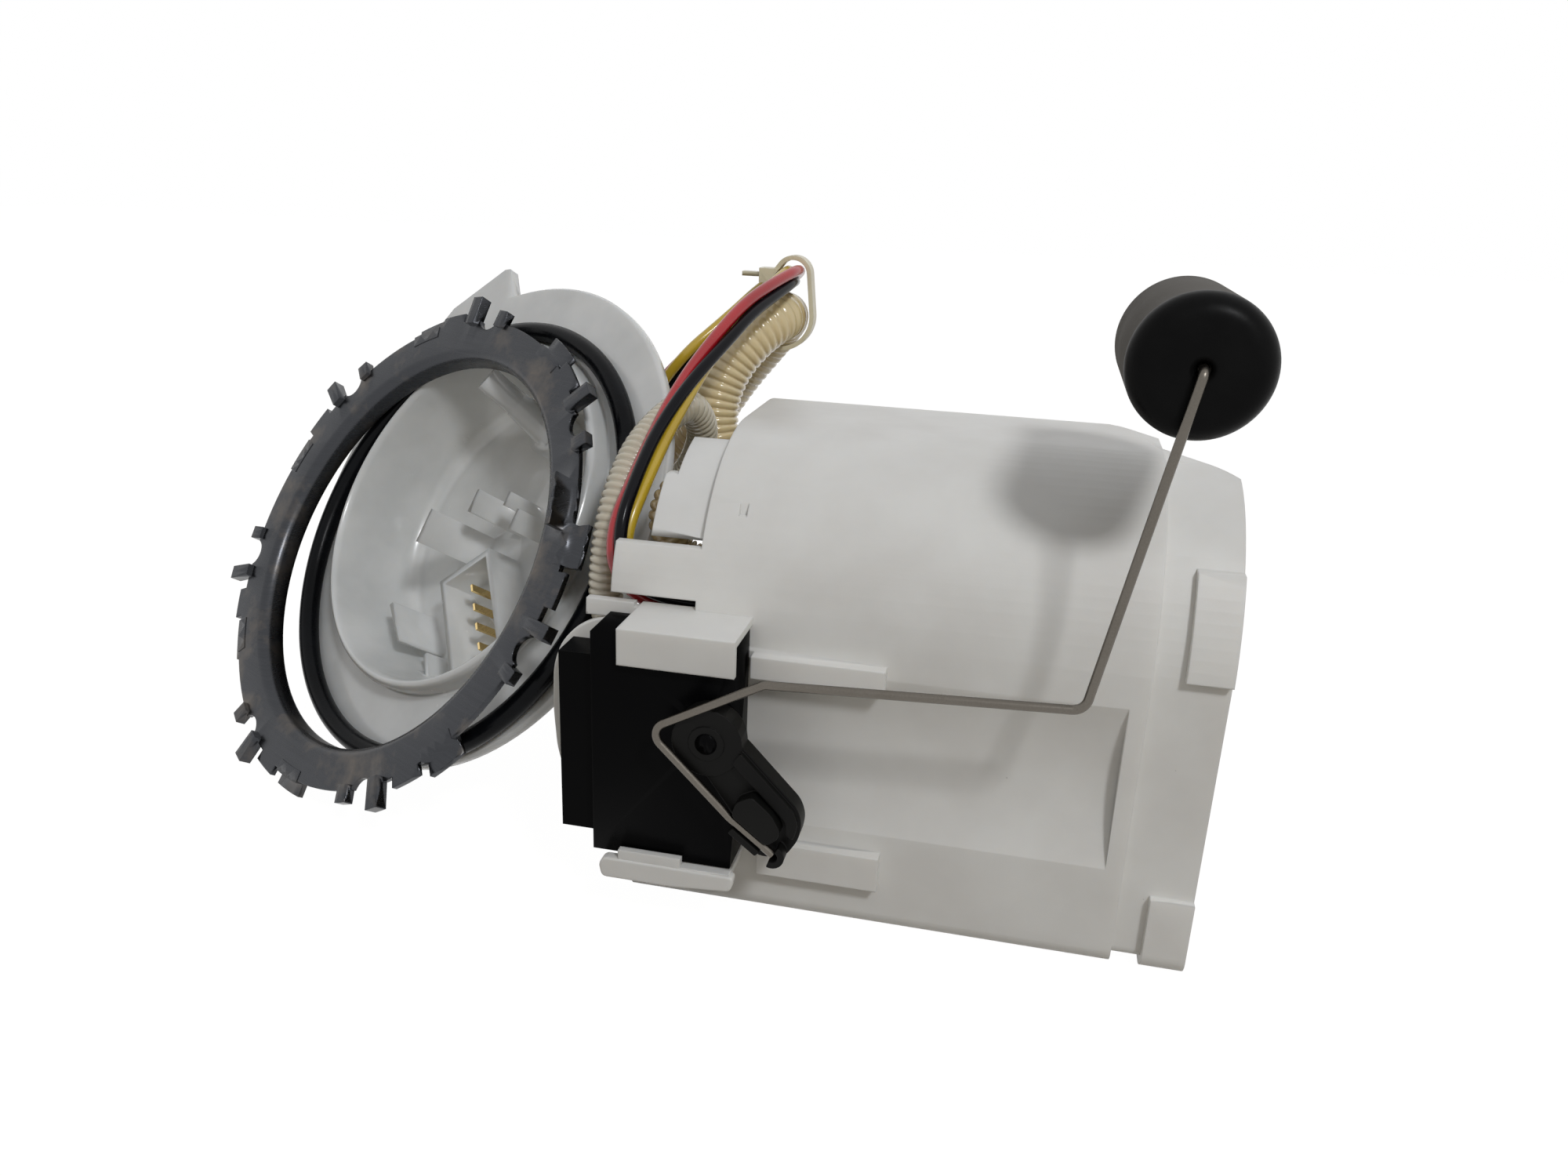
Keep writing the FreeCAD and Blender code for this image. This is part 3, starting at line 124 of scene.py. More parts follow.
def spline_line(route: Sequence[Point], step: float) -> np.ndarray:
    """The route's NURBS spline as evenly spaced points in metres.

    Args:
        route: Control points in millimetres.
        step: Spacing in metres.

    Returns:
        An array of points, one row each.
    """
    bare = spline_curve("bare_line", route)
    mesh = bpy.data.meshes.new_from_object(bare)
    line = np.zeros(len(mesh.vertices) * 3)
    mesh.vertices.foreach_get("co", line)
    line = line.reshape(-1, 3)
    bpy.data.meshes.remove(mesh)
    bpy.data.curves.remove(bare.data)
    return evenly(line, step)


def evenly(line: np.ndarray, step: float) -> np.ndarray:
    """The same line with its points about one step apart."""
    along = np.concatenate([[0], np.cumsum(np.linalg.norm(np.diff(line, axis=0), axis=1))])
    places = np.linspace(0, along[-1], max(2, round(along[-1] / step) + 1))
    return np.stack([np.interp(places, along, line[:, axis]) for axis in range(3)], axis=1)


def line_length(line: np.ndarray) -> float:
    """The length of a line of points."""
    return float(np.linalg.norm(np.diff(line, axis=0), axis=1).sum())


def carried_frames(line: np.ndarray) -> tuple[np.ndarray, np.ndarray]:
    """Two directions square to a line at each of its points, carried along it without twist.

    Args:
        line: Points, one row each.

    Returns:
        Two arrays of unit vectors. Each is the last one with its part along the new tangent taken away.
    """
    tangents = np.gradient(line, axis=0)
    tangents /= np.linalg.norm(tangents, axis=1, keepdims=True)
    start = np.cross(tangents[0], [0.0, 0.0, 1.0] if abs(tangents[0][2]) < 0.9 else [1.0, 0.0, 0.0])
    sides = [start / np.linalg.norm(start)]
    for tangent in tangents[1:]:
        side = sides[-1] - tangent * (sides[-1] @ tangent)
        sides.append(side / np.linalg.norm(side))
    first = np.array(sides)
    return first, np.cross(tangents, first)


# ---- meshes ----


def grid_mesh(name: str, points: np.ndarray) -> bpy.types.Object:
    """A mesh object over a grid of points, whose rows are closed rings.

    Args:
        name: The piece's name.
        points: Rows by columns by three, in metres.

    Returns:
        The object, shaded smooth, with doubled points merged and faces pointing outwards.
    """
    rows, columns = points.shape[:2]
    index = np.arange(rows * columns).reshape(rows, columns)
    index = np.hstack([index, index[:, :1]])
    quads = np.stack([index[:-1, :-1], index[:-1, 1:], index[1:, 1:], index[1:, :-1]], axis=-1)
    mesh = bpy.data.meshes.new(name)
    mesh.from_pydata(points.reshape(-1, 3).tolist(), [], quads.reshape(-1, 4).tolist())
    work = bmesh.new()
    work.from_mesh(mesh)
    bmesh.ops.remove_doubles(work, verts=work.verts, dist=MERGE_M)
    bmesh.ops.dissolve_degenerate(work, edges=work.edges, dist=MERGE_M)
    bmesh.ops.recalc_face_normals(work, faces=work.faces)
    work.to_mesh(mesh)
    work.free()
    mesh.shade_smooth()
    return put(name, mesh)


def swept(line: np.ndarray, radii: np.ndarray, around: int) -> np.ndarray:
    """Points of a tube with closed ends: circles of the given radii square to a line.

    Args:
        line: The middle line, in metres.
        radii: One radius for each point of the line, in metres.
        around: Points in each circle.

    Returns:
        A grid of points. The point at angle a is line + radius * (cos a * first + sin a * second).
    """
    first, second = carried_frames(line)
    angles = np.linspace(0, 2 * math.pi, around, endpoint=False)
    cosines, sines = np.cos(angles)[None, :, None], np.sin(angles)[None, :, None]
    ring = first[:, None] * cosines + second[:, None] * sines
    tube = line[:, None] + ring * radii[:, None, None]
    ends = [np.repeat(line[end][None, None], around, axis=1) for end in (0, -1)]
    return np.concatenate([ends[0], tube, ends[1]])


def even_normals(piece: bpy.types.Object) -> None:
    """Lets wide faces set the shading, so that the thin ones between them don't show as stripes."""
    modifier = piece.modifiers.new("even_normals", "WEIGHTED_NORMAL")
    modifier.mode = "FACE_AREA_WITH_ANGLE"
    modifier.keep_sharp = True


def smoothed(node: str, sharp_degrees: float) -> bpy.types.Object:
    """A CAD node's mesh again, merged and shaded smooth, in the node's own place.

    Args:
        node: The CAD node's name.
        sharp_degrees: An edge that turns more than this stays sharp.

    Returns:
        The new object. It replaces the node.
    """
    source = frame["nodes"][node]
    mesh = source.data.copy()
    mesh.name = node + "_skin"
    work = bmesh.new()
    work.from_mesh(mesh)
    bmesh.ops.remove_doubles(work, verts=work.verts, dist=SKIN_MERGE_M)
    work.to_mesh(mesh)
    work.free()
    mesh.shade_smooth()
    mesh.set_sharp_from_angle(angle=math.radians(sharp_degrees))
    mesh.materials.clear()
    piece = put(node + "_skin", mesh)
    even_normals(piece)
    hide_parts(node)
    return piece


def arc(centre: Flat, radius: float, start: float, end: float, count: int) -> list[Flat]:
    """Points on part of a circle, evenly from the start angle to the end angle, both in degrees."""
    angles = np.radians(np.linspace(start, end, count))
    return [(centre[0] + radius * math.cos(a), centre[1] + radius * math.sin(a)) for a in angles]


def rounded_outline(corners: Sequence[Flat], radius: float, steps: int = 5) -> np.ndarray:
    """A closed outline with its corners rounded.

    Args:
        corners: Corner points.
        radius: How far from each corner its curve starts, at most 45% of the shorter side.
        steps: How many points each curve has.

    Returns:
        The points. Each corner's curve is the quadratic one that the two sides touch.
    """
    points = np.array(corners, float)
    outline = []
    for index, corner in enumerate(points):
        before, after = points[index - 1] - corner, points[(index + 1) % len(points)] - corner
        reach = min(radius, 0.45 * np.linalg.norm(before), 0.45 * np.linalg.norm(after))
        start = corner + before / np.linalg.norm(before) * reach
        end = corner + after / np.linalg.norm(after) * reach
        for share in np.linspace(0, 1, steps):
            rest = 1 - share
            outline.append(start * rest ** 2 + corner * 2 * share * rest + end * share ** 2)
    return np.array(outline)


@dataclass(frozen=True)
class Slab:
    """A flat-sided block: its outline in x and z, and where it starts and ends along -y."""

    outline: Sequence[Flat]
    back: float
    front: float
    corner: float = 1.0

    def faces(self, work: bmesh.types.BMesh) -> None:
        """Adds the block to a mesh in work."""
        points = rounded_outline(self.outline, self.corner)
        rings = [[work.verts.new((x * MM, -depth * MM, z * MM)) for x, z in points]
                 for depth in (self.back, self.front)]
        work.faces.new(rings[0])
        work.faces.new(rings[1][::-1])
        for index in range(len(points)):
            after = (index + 1) % len(points)
            work.faces.new((rings[0][index], rings[1][index], rings[1][after], rings[0][after]))


def moulding(name: str, slabs: Sequence[Slab], edge: float = 0.4) -> bpy.types.Object:
    """One piece made of slabs that overlap, with every edge rounded.

    Args:
        name: The piece's name.
        slabs: Its blocks.
        edge: The edges' radius in millimetres.

    Returns:
        The object, with a bevel and even shading.
    """
    work = bmesh.new()
    for slab in slabs:
        slab.faces(work)
    bmesh.ops.recalc_face_normals(work, faces=work.faces)
    mesh = bpy.data.meshes.new(name)
    work.to_mesh(mesh)
    work.free()
    mesh.shade_smooth()
    piece = put(name, mesh)
    bevel = piece.modifiers.new("round_edges", "BEVEL")
    bevel.width = edge * MM
    bevel.segments = 3
    bevel.limit_method = "ANGLE"
    bevel.angle_limit = math.radians(BEVEL_LIMIT_DEGREES)
    even_normals(piece)
    return piece


# ---- shader maths ----


class Signal:
    """A shader socket. Python's operators on it add the Math nodes that work out the result."""

    def __init__(self, painter: "Painter", socket: bpy.types.NodeSocket) -> None:
        """Keeps the socket and the painter that it belongs to."""
        self.painter = painter
        self.socket = socket

    def __add__(self, other: "Signal | float") -> "Signal":
        """This plus the other."""
        return self.painter.math("ADD", self, other)

    __radd__ = __add__

    def __sub__(self, other: "Signal | float") -> "Signal":
        """This less the other."""
        return self.painter.math("SUBTRACT", self, other)

    def __rsub__(self, other: float) -> "Signal":
        """The other less this."""
        return self.painter.math("SUBTRACT", other, self)

    def __mul__(self, other: "Signal | float") -> "Signal":
        """This times the other."""
        return self.painter.math("MULTIPLY", self, other)

    __rmul__ = __mul__

    def above(self, low: float, high: float) -> "Signal":
        """0 below low and 1 above high, straight between them."""
        return self.painter.math("MULTIPLY", self - low, 1.0 / (high - low), clamp=True)


Term = Signal | float | Colour
WAVE_SCALE = 0.314
WHITE = (1.0, 1.0, 1.0)


class Painter:
    """Builds the nodes of one material, or of a world, each through the method node."""

    def __init__(self, name: str, shelf: str = "materials") -> None:
        """Starts an empty material of that name, or a world where the shelf is "worlds"."""
        self.owner = getattr(bpy.data, shelf).new(name)
        self.owner.use_nodes = True
        self.tree = self.owner.node_tree
        self.tree.nodes.clear()

    def node(self, kind: str, settings: dict | None = None,
             values: dict | None = None) -> bpy.types.Node:
        """Adds a node.

        Args:
            kind: Blender's type name.
            settings: Its own settings, set first. A list under "stops" fills the colour ramp.
            values: Socket name or index to a value, a colour or a Signal.

        Returns:
            The node.
        """
        made = self.tree.nodes.new(kind)
        for name, value in (settings or {}).items():
            if name == "stops":
                ramp = made.color_ramp
                for place, _ in value[2:]:
                    ramp.elements.new(place)
                for element, (place, colour) in zip(ramp.elements, sorted(value)):
                    element.position = place
                    element.color = (*colour, 1.0)
            else:
                setattr(made, name, value)
        for name, value in (values or {}).items():
            socket = made.inputs[name]
            if isinstance(value, Signal):
                self.tree.links.new(value.socket, socket)
            elif socket.type == "RGBA" and len(value) == 3:
                socket.default_value = (*value, 1.0)
            else:
                socket.default_value = value
        return made

    def signal(self, kind: str, output: str | int, settings: dict | None = None,
               values: dict | None = None) -> Signal:
        """A new node's output as a Signal."""
        return Signal(self, self.node(kind, settings, values).outputs[output])

    def math(self, operation: str, *terms: Signal | float, clamp: bool = False) -> Signal:
        """One Math node over its terms."""
        settings = {"operation": operation, "use_clamp": clamp}
        return self.signal("ShaderNodeMath", 0, settings, dict(enumerate(terms)))

    def place(self) -> Signal:
        """The point on the piece, in metres."""
        return self.signal("ShaderNodeTexCoord", "Object")

    def stretched(self, scale: Point) -> Signal:
        """The point, scaled along each axis."""
        return self.signal("ShaderNodeMapping", 0, {"vector_type": "POINT"},
                           {"Vector": self.place(), "Scale": scale})

    def wave(self, axis: str, length_mm: float, distortion: float = 0.0) -> Signal:
        """A wave from 0 to 1 along an axis, one crest to each length."""
        values = {"Vector": self.place(), "Scale": WAVE_SCALE / (length_mm * MM), "Distortion": distortion}
        return self.signal("ShaderNodeTexWave", 1, {"bands_direction": axis}, values)

    def noise(self, size_mm: float, detail: float = 3.0, roughness: float = 0.5,
              vector: Signal | None = None) -> Signal:
        """Soft noise from 0 to 1 whose blobs are about size_mm wide, or as wide as the vector makes them."""
        values = {"Vector": vector or self.place(), "Scale": 1.0 / (size_mm * MM) if vector is None else 1.0,
                  "Detail": detail, "Roughness": roughness}
        return self.signal("ShaderNodeTexNoise", 0, {"noise_dimensions": "3D"}, values)

    def specks(self, size_mm: float, share: float) -> Signal:
        """1 inside small round spots that lie about size_mm apart, 0 elsewhere."""
        distance = self.signal("ShaderNodeTexVoronoi", "Distance", {"feature": "F1"},
                               {"Vector": self.place(), "Scale": 1.0 / (size_mm * MM)})
        return 1.0 - distance.above(share * 0.6, share)

    def blend(self, share: Signal | float, first: Term, second: Term) -> Signal:
        """The first colour at 0 and the second at 1."""
        return self.signal("ShaderNodeMix", 2, {"data_type": "RGBA"}, {0: share, 6: first, 7: second})

    def rounded(self, radius_mm: float) -> Signal:
        """Surface direction with the edges softened to that radius."""
        return self.signal("ShaderNodeBevel", 0, {"samples": 6}, {"Radius": radius_mm * MM})

    def bumped(self, height: Signal, depth_mm: float, under: Signal | None = None) -> Signal:
        """Surface direction with relief of that depth, over another direction if one is given."""
        values = {"Strength": 1.0, "Distance": depth_mm * MM, "Height": height}
        if under is not None:
            values["Normal"] = under
        return self.signal("ShaderNodeBump", 0, {}, values)

    def direct_view(self) -> Signal:
        """1 on rays that show a thing to the camera, straight, mirrored or through glass; 0 on the others."""
        path = self.node("ShaderNodeLightPath")
        camera, mirrored, through = (Signal(self, path.outputs[name]) for name in
                                     ("Is Camera Ray", "Is Glossy Ray", "Is Transmission Ray"))
        return self.math("MAXIMUM", self.math("MAXIMUM", camera, mirrored), through)

    def done(self, **shader: Term) -> bpy.types.Material:
        """Finishes the material with one Principled shader; underscores stand for spaces in socket names."""
        values = {name.replace("_", " "): value for name, value in shader.items()}
        surface = self.node("ShaderNodeBsdfPrincipled", {}, values)
        self.node("ShaderNodeOutputMaterial", {}, {"Surface": Signal(self, surface.outputs[0])})
        return self.owner


# ---- finishes ----


@dataclass(frozen=True)
class Finish:
    """What a material starts from: its name, slot, colour, roughness, edge radius and shine."""

    name: str
    slot: str
    colour: Colour
    roughness: float = 0.5
    edge_mm: float = 0.3
    shine: float = 0.5

    def material(self) -> bpy.types.Material:
        """Builds the material."""
        raise NotImplementedError


@dataclass(frozen=True)
class MouldedPlastic(Finish):
    """Injection-moulded plastic: faint clouding, a fine grain, some light that passes in, and dust specks."""

    cloud: Colour = (0.5, 0.5, 0.5)
    cloud_mm: float = 22.0
    grain_mm: float = 0.5
    grain_depth_mm: float = 0.01
    through: float = 0.0
    through_mm: float = 3.0
    coat: float = 0.0
    speck: float = 0.0
    speck_colour: Colour = (0.08, 0.07, 0.06)

    def material(self) -> bpy.types.Material:
        """Builds the material."""
        paint = Painter(self.name)
        clouds = paint.noise(self.cloud_mm, 4.0).above(0.35, 0.7)
        colour = paint.blend(clouds, self.colour, self.cloud)
        if self.speck:
            dirt = paint.specks(9.0, 0.035) * paint.noise(40.0).above(0.52, 0.6)
            colour = paint.blend(dirt * self.speck, colour, self.speck_colour)
        rough = paint.noise(6.0, 5.0) * 0.16 + (self.roughness - 0.08)
        grain = paint.noise(self.grain_mm, 2.0)
        normal = paint.bumped(grain, self.grain_depth_mm, paint.rounded(self.edge_mm))
        return paint.done(Base_Color=colour, Roughness=rough, Normal=normal, Coat_Weight=self.coat,
                          Coat_Roughness=0.12, Specular_IOR_Level=self.shine, Subsurface_Weight=self.through,
                          Subsurface_Radius=(1.0, 0.85, 0.7), Subsurface_Scale=self.through_mm * MM)


@dataclass(frozen=True)
class SheetSteel(Finish):
    """Rolled or ground steel: brush streaks along one direction, tinted patches and small dents."""

    tint: Colour = (0.30, 0.24, 0.18)
    tint_share: float = 0.3
    streak: Point = (60.0, 60.0, 2500.0)
    dent_mm: float = 0.04

    def material(self) -> bpy.types.Material:
        """Builds the material."""
        paint = Painter(self.name)
        streaks = paint.noise(1.0, 3.0, vector=paint.stretched(self.streak))
        patches = paint.noise(13.0, 5.0, 0.6)
        # Patches of the tint colour. On the lock ring these are partly its warm-brown tint and partly painted
        # highlight and shade.
        colour = paint.blend(patches.above(0.5, 0.75) * self.tint_share, self.colour, self.tint)
        bright = tuple(c * 1.5 for c in self.colour)
        colour = paint.blend(streaks.above(0.3, 0.8) * 0.35, colour, bright)
        rough = streaks * 0.12 + patches * 0.22 + (self.roughness - 0.16)
        dents = paint.noise(7.0, 3.0) + streaks * 0.08
        normal = paint.bumped(dents, self.dent_mm, paint.rounded(self.edge_mm))
        return paint.done(Base_Color=colour, Roughness=rough, Metallic=1.0, Normal=normal)


@dataclass(frozen=True)
class SoftRubber(Finish):
    """Rubber or foam: a sheen of talc in soft patches and a fine pitted skin."""

    bloom: Colour = (0.08, 0.08, 0.09)
    pit_mm: float = 0.7
    pit_depth_mm: float = 0.02
    coat: float = 0.0

    def material(self) -> bpy.types.Material:
        """Builds the material."""
        paint = Painter(self.name)
        cloud = paint.noise(9.0, 5.0, 0.65).above(0.4, 0.8)
        colour = paint.blend(cloud, self.colour, self.bloom)
        rough = cloud * 0.2 + self.roughness
        pits = paint.noise(self.pit_mm, 3.0)
        normal = paint.bumped(pits, self.pit_depth_mm, paint.rounded(self.edge_mm))
        return paint.done(Base_Color=colour, Roughness=rough, Normal=normal, Coat_Weight=self.coat,
                          Coat_Roughness=0.1, Specular_IOR_Level=self.shine)


@dataclass(frozen=True)
class PleatedPaper(Finish):
    """Filter paper: folds close together along the pump, each drawn darker towards its crest as painted
    shade, and a fibrous face.
    """

    fold_mm: float = 2.2

    def material(self) -> bpy.types.Material:
        """Builds the material."""
        paint = Painter(self.name)
        fibres = paint.noise(0.6, 4.0)
        folds = paint.wave("Z", self.fold_mm, 0.3)
        # Painted shade: the paper's colour darkens with the fold wave, so the pleats show light and dark
        # bands in the colour itself.
        colour = paint.blend(folds, self.colour, tuple(c * 0.55 for c in self.colour))
        normal = paint.bumped(folds + fibres * 0.2, 0.5)
        return paint.done(Base_Color=colour, Roughness=0.85, Normal=normal)


@dataclass(frozen=True)
class WovenCloth(Finish):
    """A fine square weave, one thread over the next, with painted shade in the gaps between the threads."""

    thread_mm: float = 0.5

    def material(self) -> bpy.types.Material:
        """Builds the material."""
        paint = Painter(self.name)
        weave = paint.math("MAXIMUM", *(paint.wave(axis, self.thread_mm) for axis in "YZ"))
        # Painted shade: the colour darkens to under half in the gaps between the threads.
        colour = paint.blend(weave, tuple(c * 0.45 for c in self.colour), self.colour)
        return paint.done(Base_Color=colour, Roughness=0.7, Normal=paint.bumped(weave, 0.15))


class Looks(Enum):
    """Every finish on the object."""

    POT = MouldedPlastic("pot_white", "pot_plastic", (0.80, 0.79, 0.755), 0.46, 0.5,
                         cloud=(0.73, 0.715, 0.68), through=0.25, through_mm=4.0, speck=0.8)
    COVER = MouldedPlastic("cover_white", "pot_plastic", (0.78, 0.775, 0.75), 0.42, 0.4,
                           cloud=(0.70, 0.695, 0.67), through=0.2)
    FLANGE = MouldedPlastic("flange_milky", "flange_plastic", (0.74, 0.745, 0.73), 0.24, 0.6,
                            cloud=(0.62, 0.63, 0.62), grain_depth_mm=0.004, through=0.45, through_mm=6.0,
                            coat=0.35, speck=0.5)
    SENSOR = MouldedPlastic("sensor_black", "sensor_plastic", (0.0012, 0.0012, 0.0014), 0.3, 0.5,
                            shine=0.035, cloud=(0.002, 0.002, 0.0022))
    LEVER = MouldedPlastic("lever_black", "sensor_plastic", (0.004, 0.004, 0.0038), 0.42, 0.4,
                           shine=0.1, cloud=(0.008, 0.0078, 0.007))
    # The lock ring's lighter warm patches are partly its brown tint and partly painted light: their contrast
    # stands in for the bright highlights and dark shade on its polished steel.
    RING = SheetSteel("ring_steel", "steel", (0.05, 0.052, 0.057), 0.27, 0.6, tint=(0.16, 0.135, 0.11),
                      tint_share=0.75)
    WIRE = SheetSteel("float_wire_steel", "steel", (0.13, 0.118, 0.102), 0.3, 0.1, tint=(0.09, 0.078, 0.064),
                      streak=(2500.0, 2500.0, 2500.0), dent_mm=0.01)
    STEEL = SheetSteel("plain_steel", "steel", (0.52, 0.52, 0.53), 0.3)
    CASTING = SheetSteel("cast_alloy_grey", "cast_alloy", (0.60, 0.61, 0.62), 0.42, dent_mm=0.08,
                         streak=(900.0, 900.0, 900.0))
    BRASS = SheetSteel("brass_yellow", "brass", (0.74, 0.56, 0.26), 0.26, 0.15, tint=(0.5, 0.34, 0.18))
    MAGNET = SheetSteel("magnet_grey", "magnet", (0.10, 0.10, 0.11), 0.55)
    SEAL = SoftRubber("seal_rubber_black", "seal_rubber", (0.003, 0.0033, 0.004), 0.2, 0.2,
                      shine=0.08, bloom=(0.006, 0.007, 0.009))
    RUBBER = SoftRubber("plain_rubber", "seal_rubber", (0.02, 0.02, 0.021), 0.5)
    FLOAT_FACE = SoftRubber("float_foam_black", "float_foam", (0.0022, 0.0022, 0.0023), 0.34, 0.2,
                            shine=0.06, bloom=(0.005, 0.005, 0.005), pit_mm=0.9, pit_depth_mm=0.015)
    FLOAT_SIDE = SoftRubber("float_foam_cut", "float_foam", (0.105, 0.098, 0.088), 0.8, 0.2,
                            shine=0.2, bloom=(0.13, 0.122, 0.11), pit_mm=0.6, pit_depth_mm=0.05)
    HOSE = MouldedPlastic("hose_cream", "hose_plastic", (0.78, 0.66, 0.40), 0.22, 0.05,
                          cloud=(0.72, 0.57, 0.30), through=0.4, through_mm=2.0, coat=0.5,
                          grain_depth_mm=0.003)
    HOSE_GREY = MouldedPlastic("hose_clear_cream", "hose_plastic", (0.62, 0.57, 0.45), 0.2, 0.05,
                               cloud=(0.52, 0.47, 0.36), through=0.4, through_mm=2.0, coat=0.5,
                               grain_depth_mm=0.003)
    TIE = MouldedPlastic("tie_cream", "hose_plastic", (0.76, 0.70, 0.52), 0.34, 0.2, cloud=(0.70, 0.63, 0.44),
                         through=0.3)
    CARD = MouldedPlastic("ceramic_white", "ceramic_card", (0.78, 0.78, 0.75), 0.5, 0.1)
    RED = MouldedPlastic("sheath_red", "red_sheath", (0.50, 0.012, 0.02), 0.28, 0.05,
                         cloud=(0.36, 0.01, 0.015), coat=0.3, grain_depth_mm=0.003)
    BLACK = MouldedPlastic("sheath_black", "black_sheath", (0.003, 0.003, 0.005), 0.2, 0.05,
                           shine=0.14, cloud=(0.007, 0.007, 0.01), grain_depth_mm=0.003)
    YELLOW = MouldedPlastic("sheath_yellow", "yellow_sheath", (0.62, 0.43, 0.03), 0.28, 0.05,
                            cloud=(0.52, 0.34, 0.02), coat=0.3, grain_depth_mm=0.003)
    PAPER = PleatedPaper("filter_paper", "paper", (0.72, 0.60, 0.38))
    CLOTH = WovenCloth("strainer_cloth", "mesh_cloth", (0.74, 0.74, 0.70))


class Wardrobe:
    """Makes each finish once and puts it on pieces."""

    def __init__(self) -> None:
        """Starts with no materials made."""
        self.made: dict[Looks, bpy.types.Material] = {}

    def material(self, look: Looks) -> bpy.types.Material:
        """The finish's material, made at its first use."""
        if look not in self.made:
            self.made[look] = look.value.material()
        return self.made[look]

    def dress(self, piece: bpy.types.Object, look: Looks, body: str) -> None:
        """Puts a finish on a new piece, and sets it on a body.

        Args:
            piece: The new piece.
            look: Its finish.
            body: The CAD body that it rides on.
        """
        piece.data.materials.append(self.material(look))
        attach(piece, body)
        LOG.info("%s rides on %s in %s", piece.name, body, look.value.name)

    def paint_node(self, node: str, look: Looks) -> None:
        """Puts a finish on a CAD node that stays as it is."""
        target = frame["nodes"][node]
        if not target.material_slots:
            target.data.materials.append(self.material(look))
        for slot in target.material_slots:
            slot.material = self.material(look)
        LOG.info("%s is painted %s", node, look.value.name)


def body_of_node(node: str) -> str:
    """The CAD body that holds a node."""
    bodies = frame["record"]["behaviour"]["bodies"]
    return next(body for body, nodes in bodies.items() if node in nodes)


# ---- sub-assemblies ----


@dataclass
class CorrugatedHose:
    """A corrugated plastic hose along a route, with a plain cuff at each end."""

    node: str
    route: Sequence[Point]
    diameter: float
    look: Looks
    pitch: float = 2.2
    depth: float = 0.75
    cuff: float = 7.0
    cuff_radius: float = 4.1
    crest: float = 1.4
    around: int = 32
    steps: int = 8

    def radii(self, length: float, count: int) -> np.ndarray:
        """The radius along the hose, in metres.

        Each ring is a cosine that is flattened at its crest: the outside radius less the depth times
        (1 - |cos|) to the power of crest. Over the cuff's last millimetre the rings fade into it.

        Args:
            length: The hose's length in metres.
            count: How many points the line has.

        Returns:
            One radius for each point.
        """
        along = np.linspace(0, length / MM, count)
        wave = 1 - np.abs(np.cos(math.pi * along / self.pitch))
        from_end = np.minimum(along, length / MM - along)
        fade = np.clip(from_end - self.cuff + 1.0, 0, 1)
        rings = self.diameter / 2 - self.depth * wave ** self.crest
        return (rings * fade + self.cuff_radius * (1 - fade)) * MM

    def build(self, wardrobe: Wardrobe) -> None:
        line = spline_line(self.route, self.pitch / self.steps * MM)
        length = line_length(line)
        piece = grid_mesh(self.node + "_rings", swept(line, self.radii(length, len(line)), self.around))
        wardrobe.dress(piece, self.look, body_of_node(self.node))
        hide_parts(self.node)
        self.diameter * MM


@dataclass
class Hoses:
    """The corrugated hoses: two between the pot and the flange, and a short one at the cover."""

    feed: Sequence[Point] = (
        (-40, 24, 79), (-53, 24, 79), (-62.5, 24, 91), (-67, 25, 106), (-64.5, 28, 120), (-56.8, 33.3, 131),
        (-50, 42, 136.2), (-51, 52, 134.5), (-59, 57, 125), (-67, 57, 115), (-75, 58, 103), (-87, 63, 88),
        LID.at(0, 35, -59), LID.at(0, 35, -37),
    )
    back: Sequence[Point] = (
        (-40, -42, 49), (-57, -42, 49), (-70, -44, 56), (-75.2, -43.5, 70), (-74.7, -43, 85),
        (-74, -36.5, 98), (-72, -24.5, 109), (-67.5, -9.5, 115.5), LID.at(68, 50.5, -3),
        LID.at(63, 46, -17), LID.at(48, 33, -30), LID.at(32, 22, -31),
    )
    jet: Sequence[Point] = (
        (-40, -36, 81), (-54, -36, 81), (-61.5, -38, 90), (-60.5, -36, 99.5), (-53, -29, 103),
        (-40, -29, 103),
    )

    def build(self, wardrobe: Wardrobe) -> None:
        """Makes the three hoses."""
        CorrugatedHose("feed_hose", self.feed, 14.4, Looks.HOSE, pitch=2.5, depth=0.6,
                       cuff_radius=6.1).build(wardrobe)
        CorrugatedHose("return_hose", self.back, 8.8, Looks.HOSE_GREY, pitch=2.0, depth=0.8).build(wardrobe)
        CorrugatedHose("jet_hose", self.jet, 8.8, Looks.HOSE, pitch=2.0, depth=0.8).build(wardrobe)


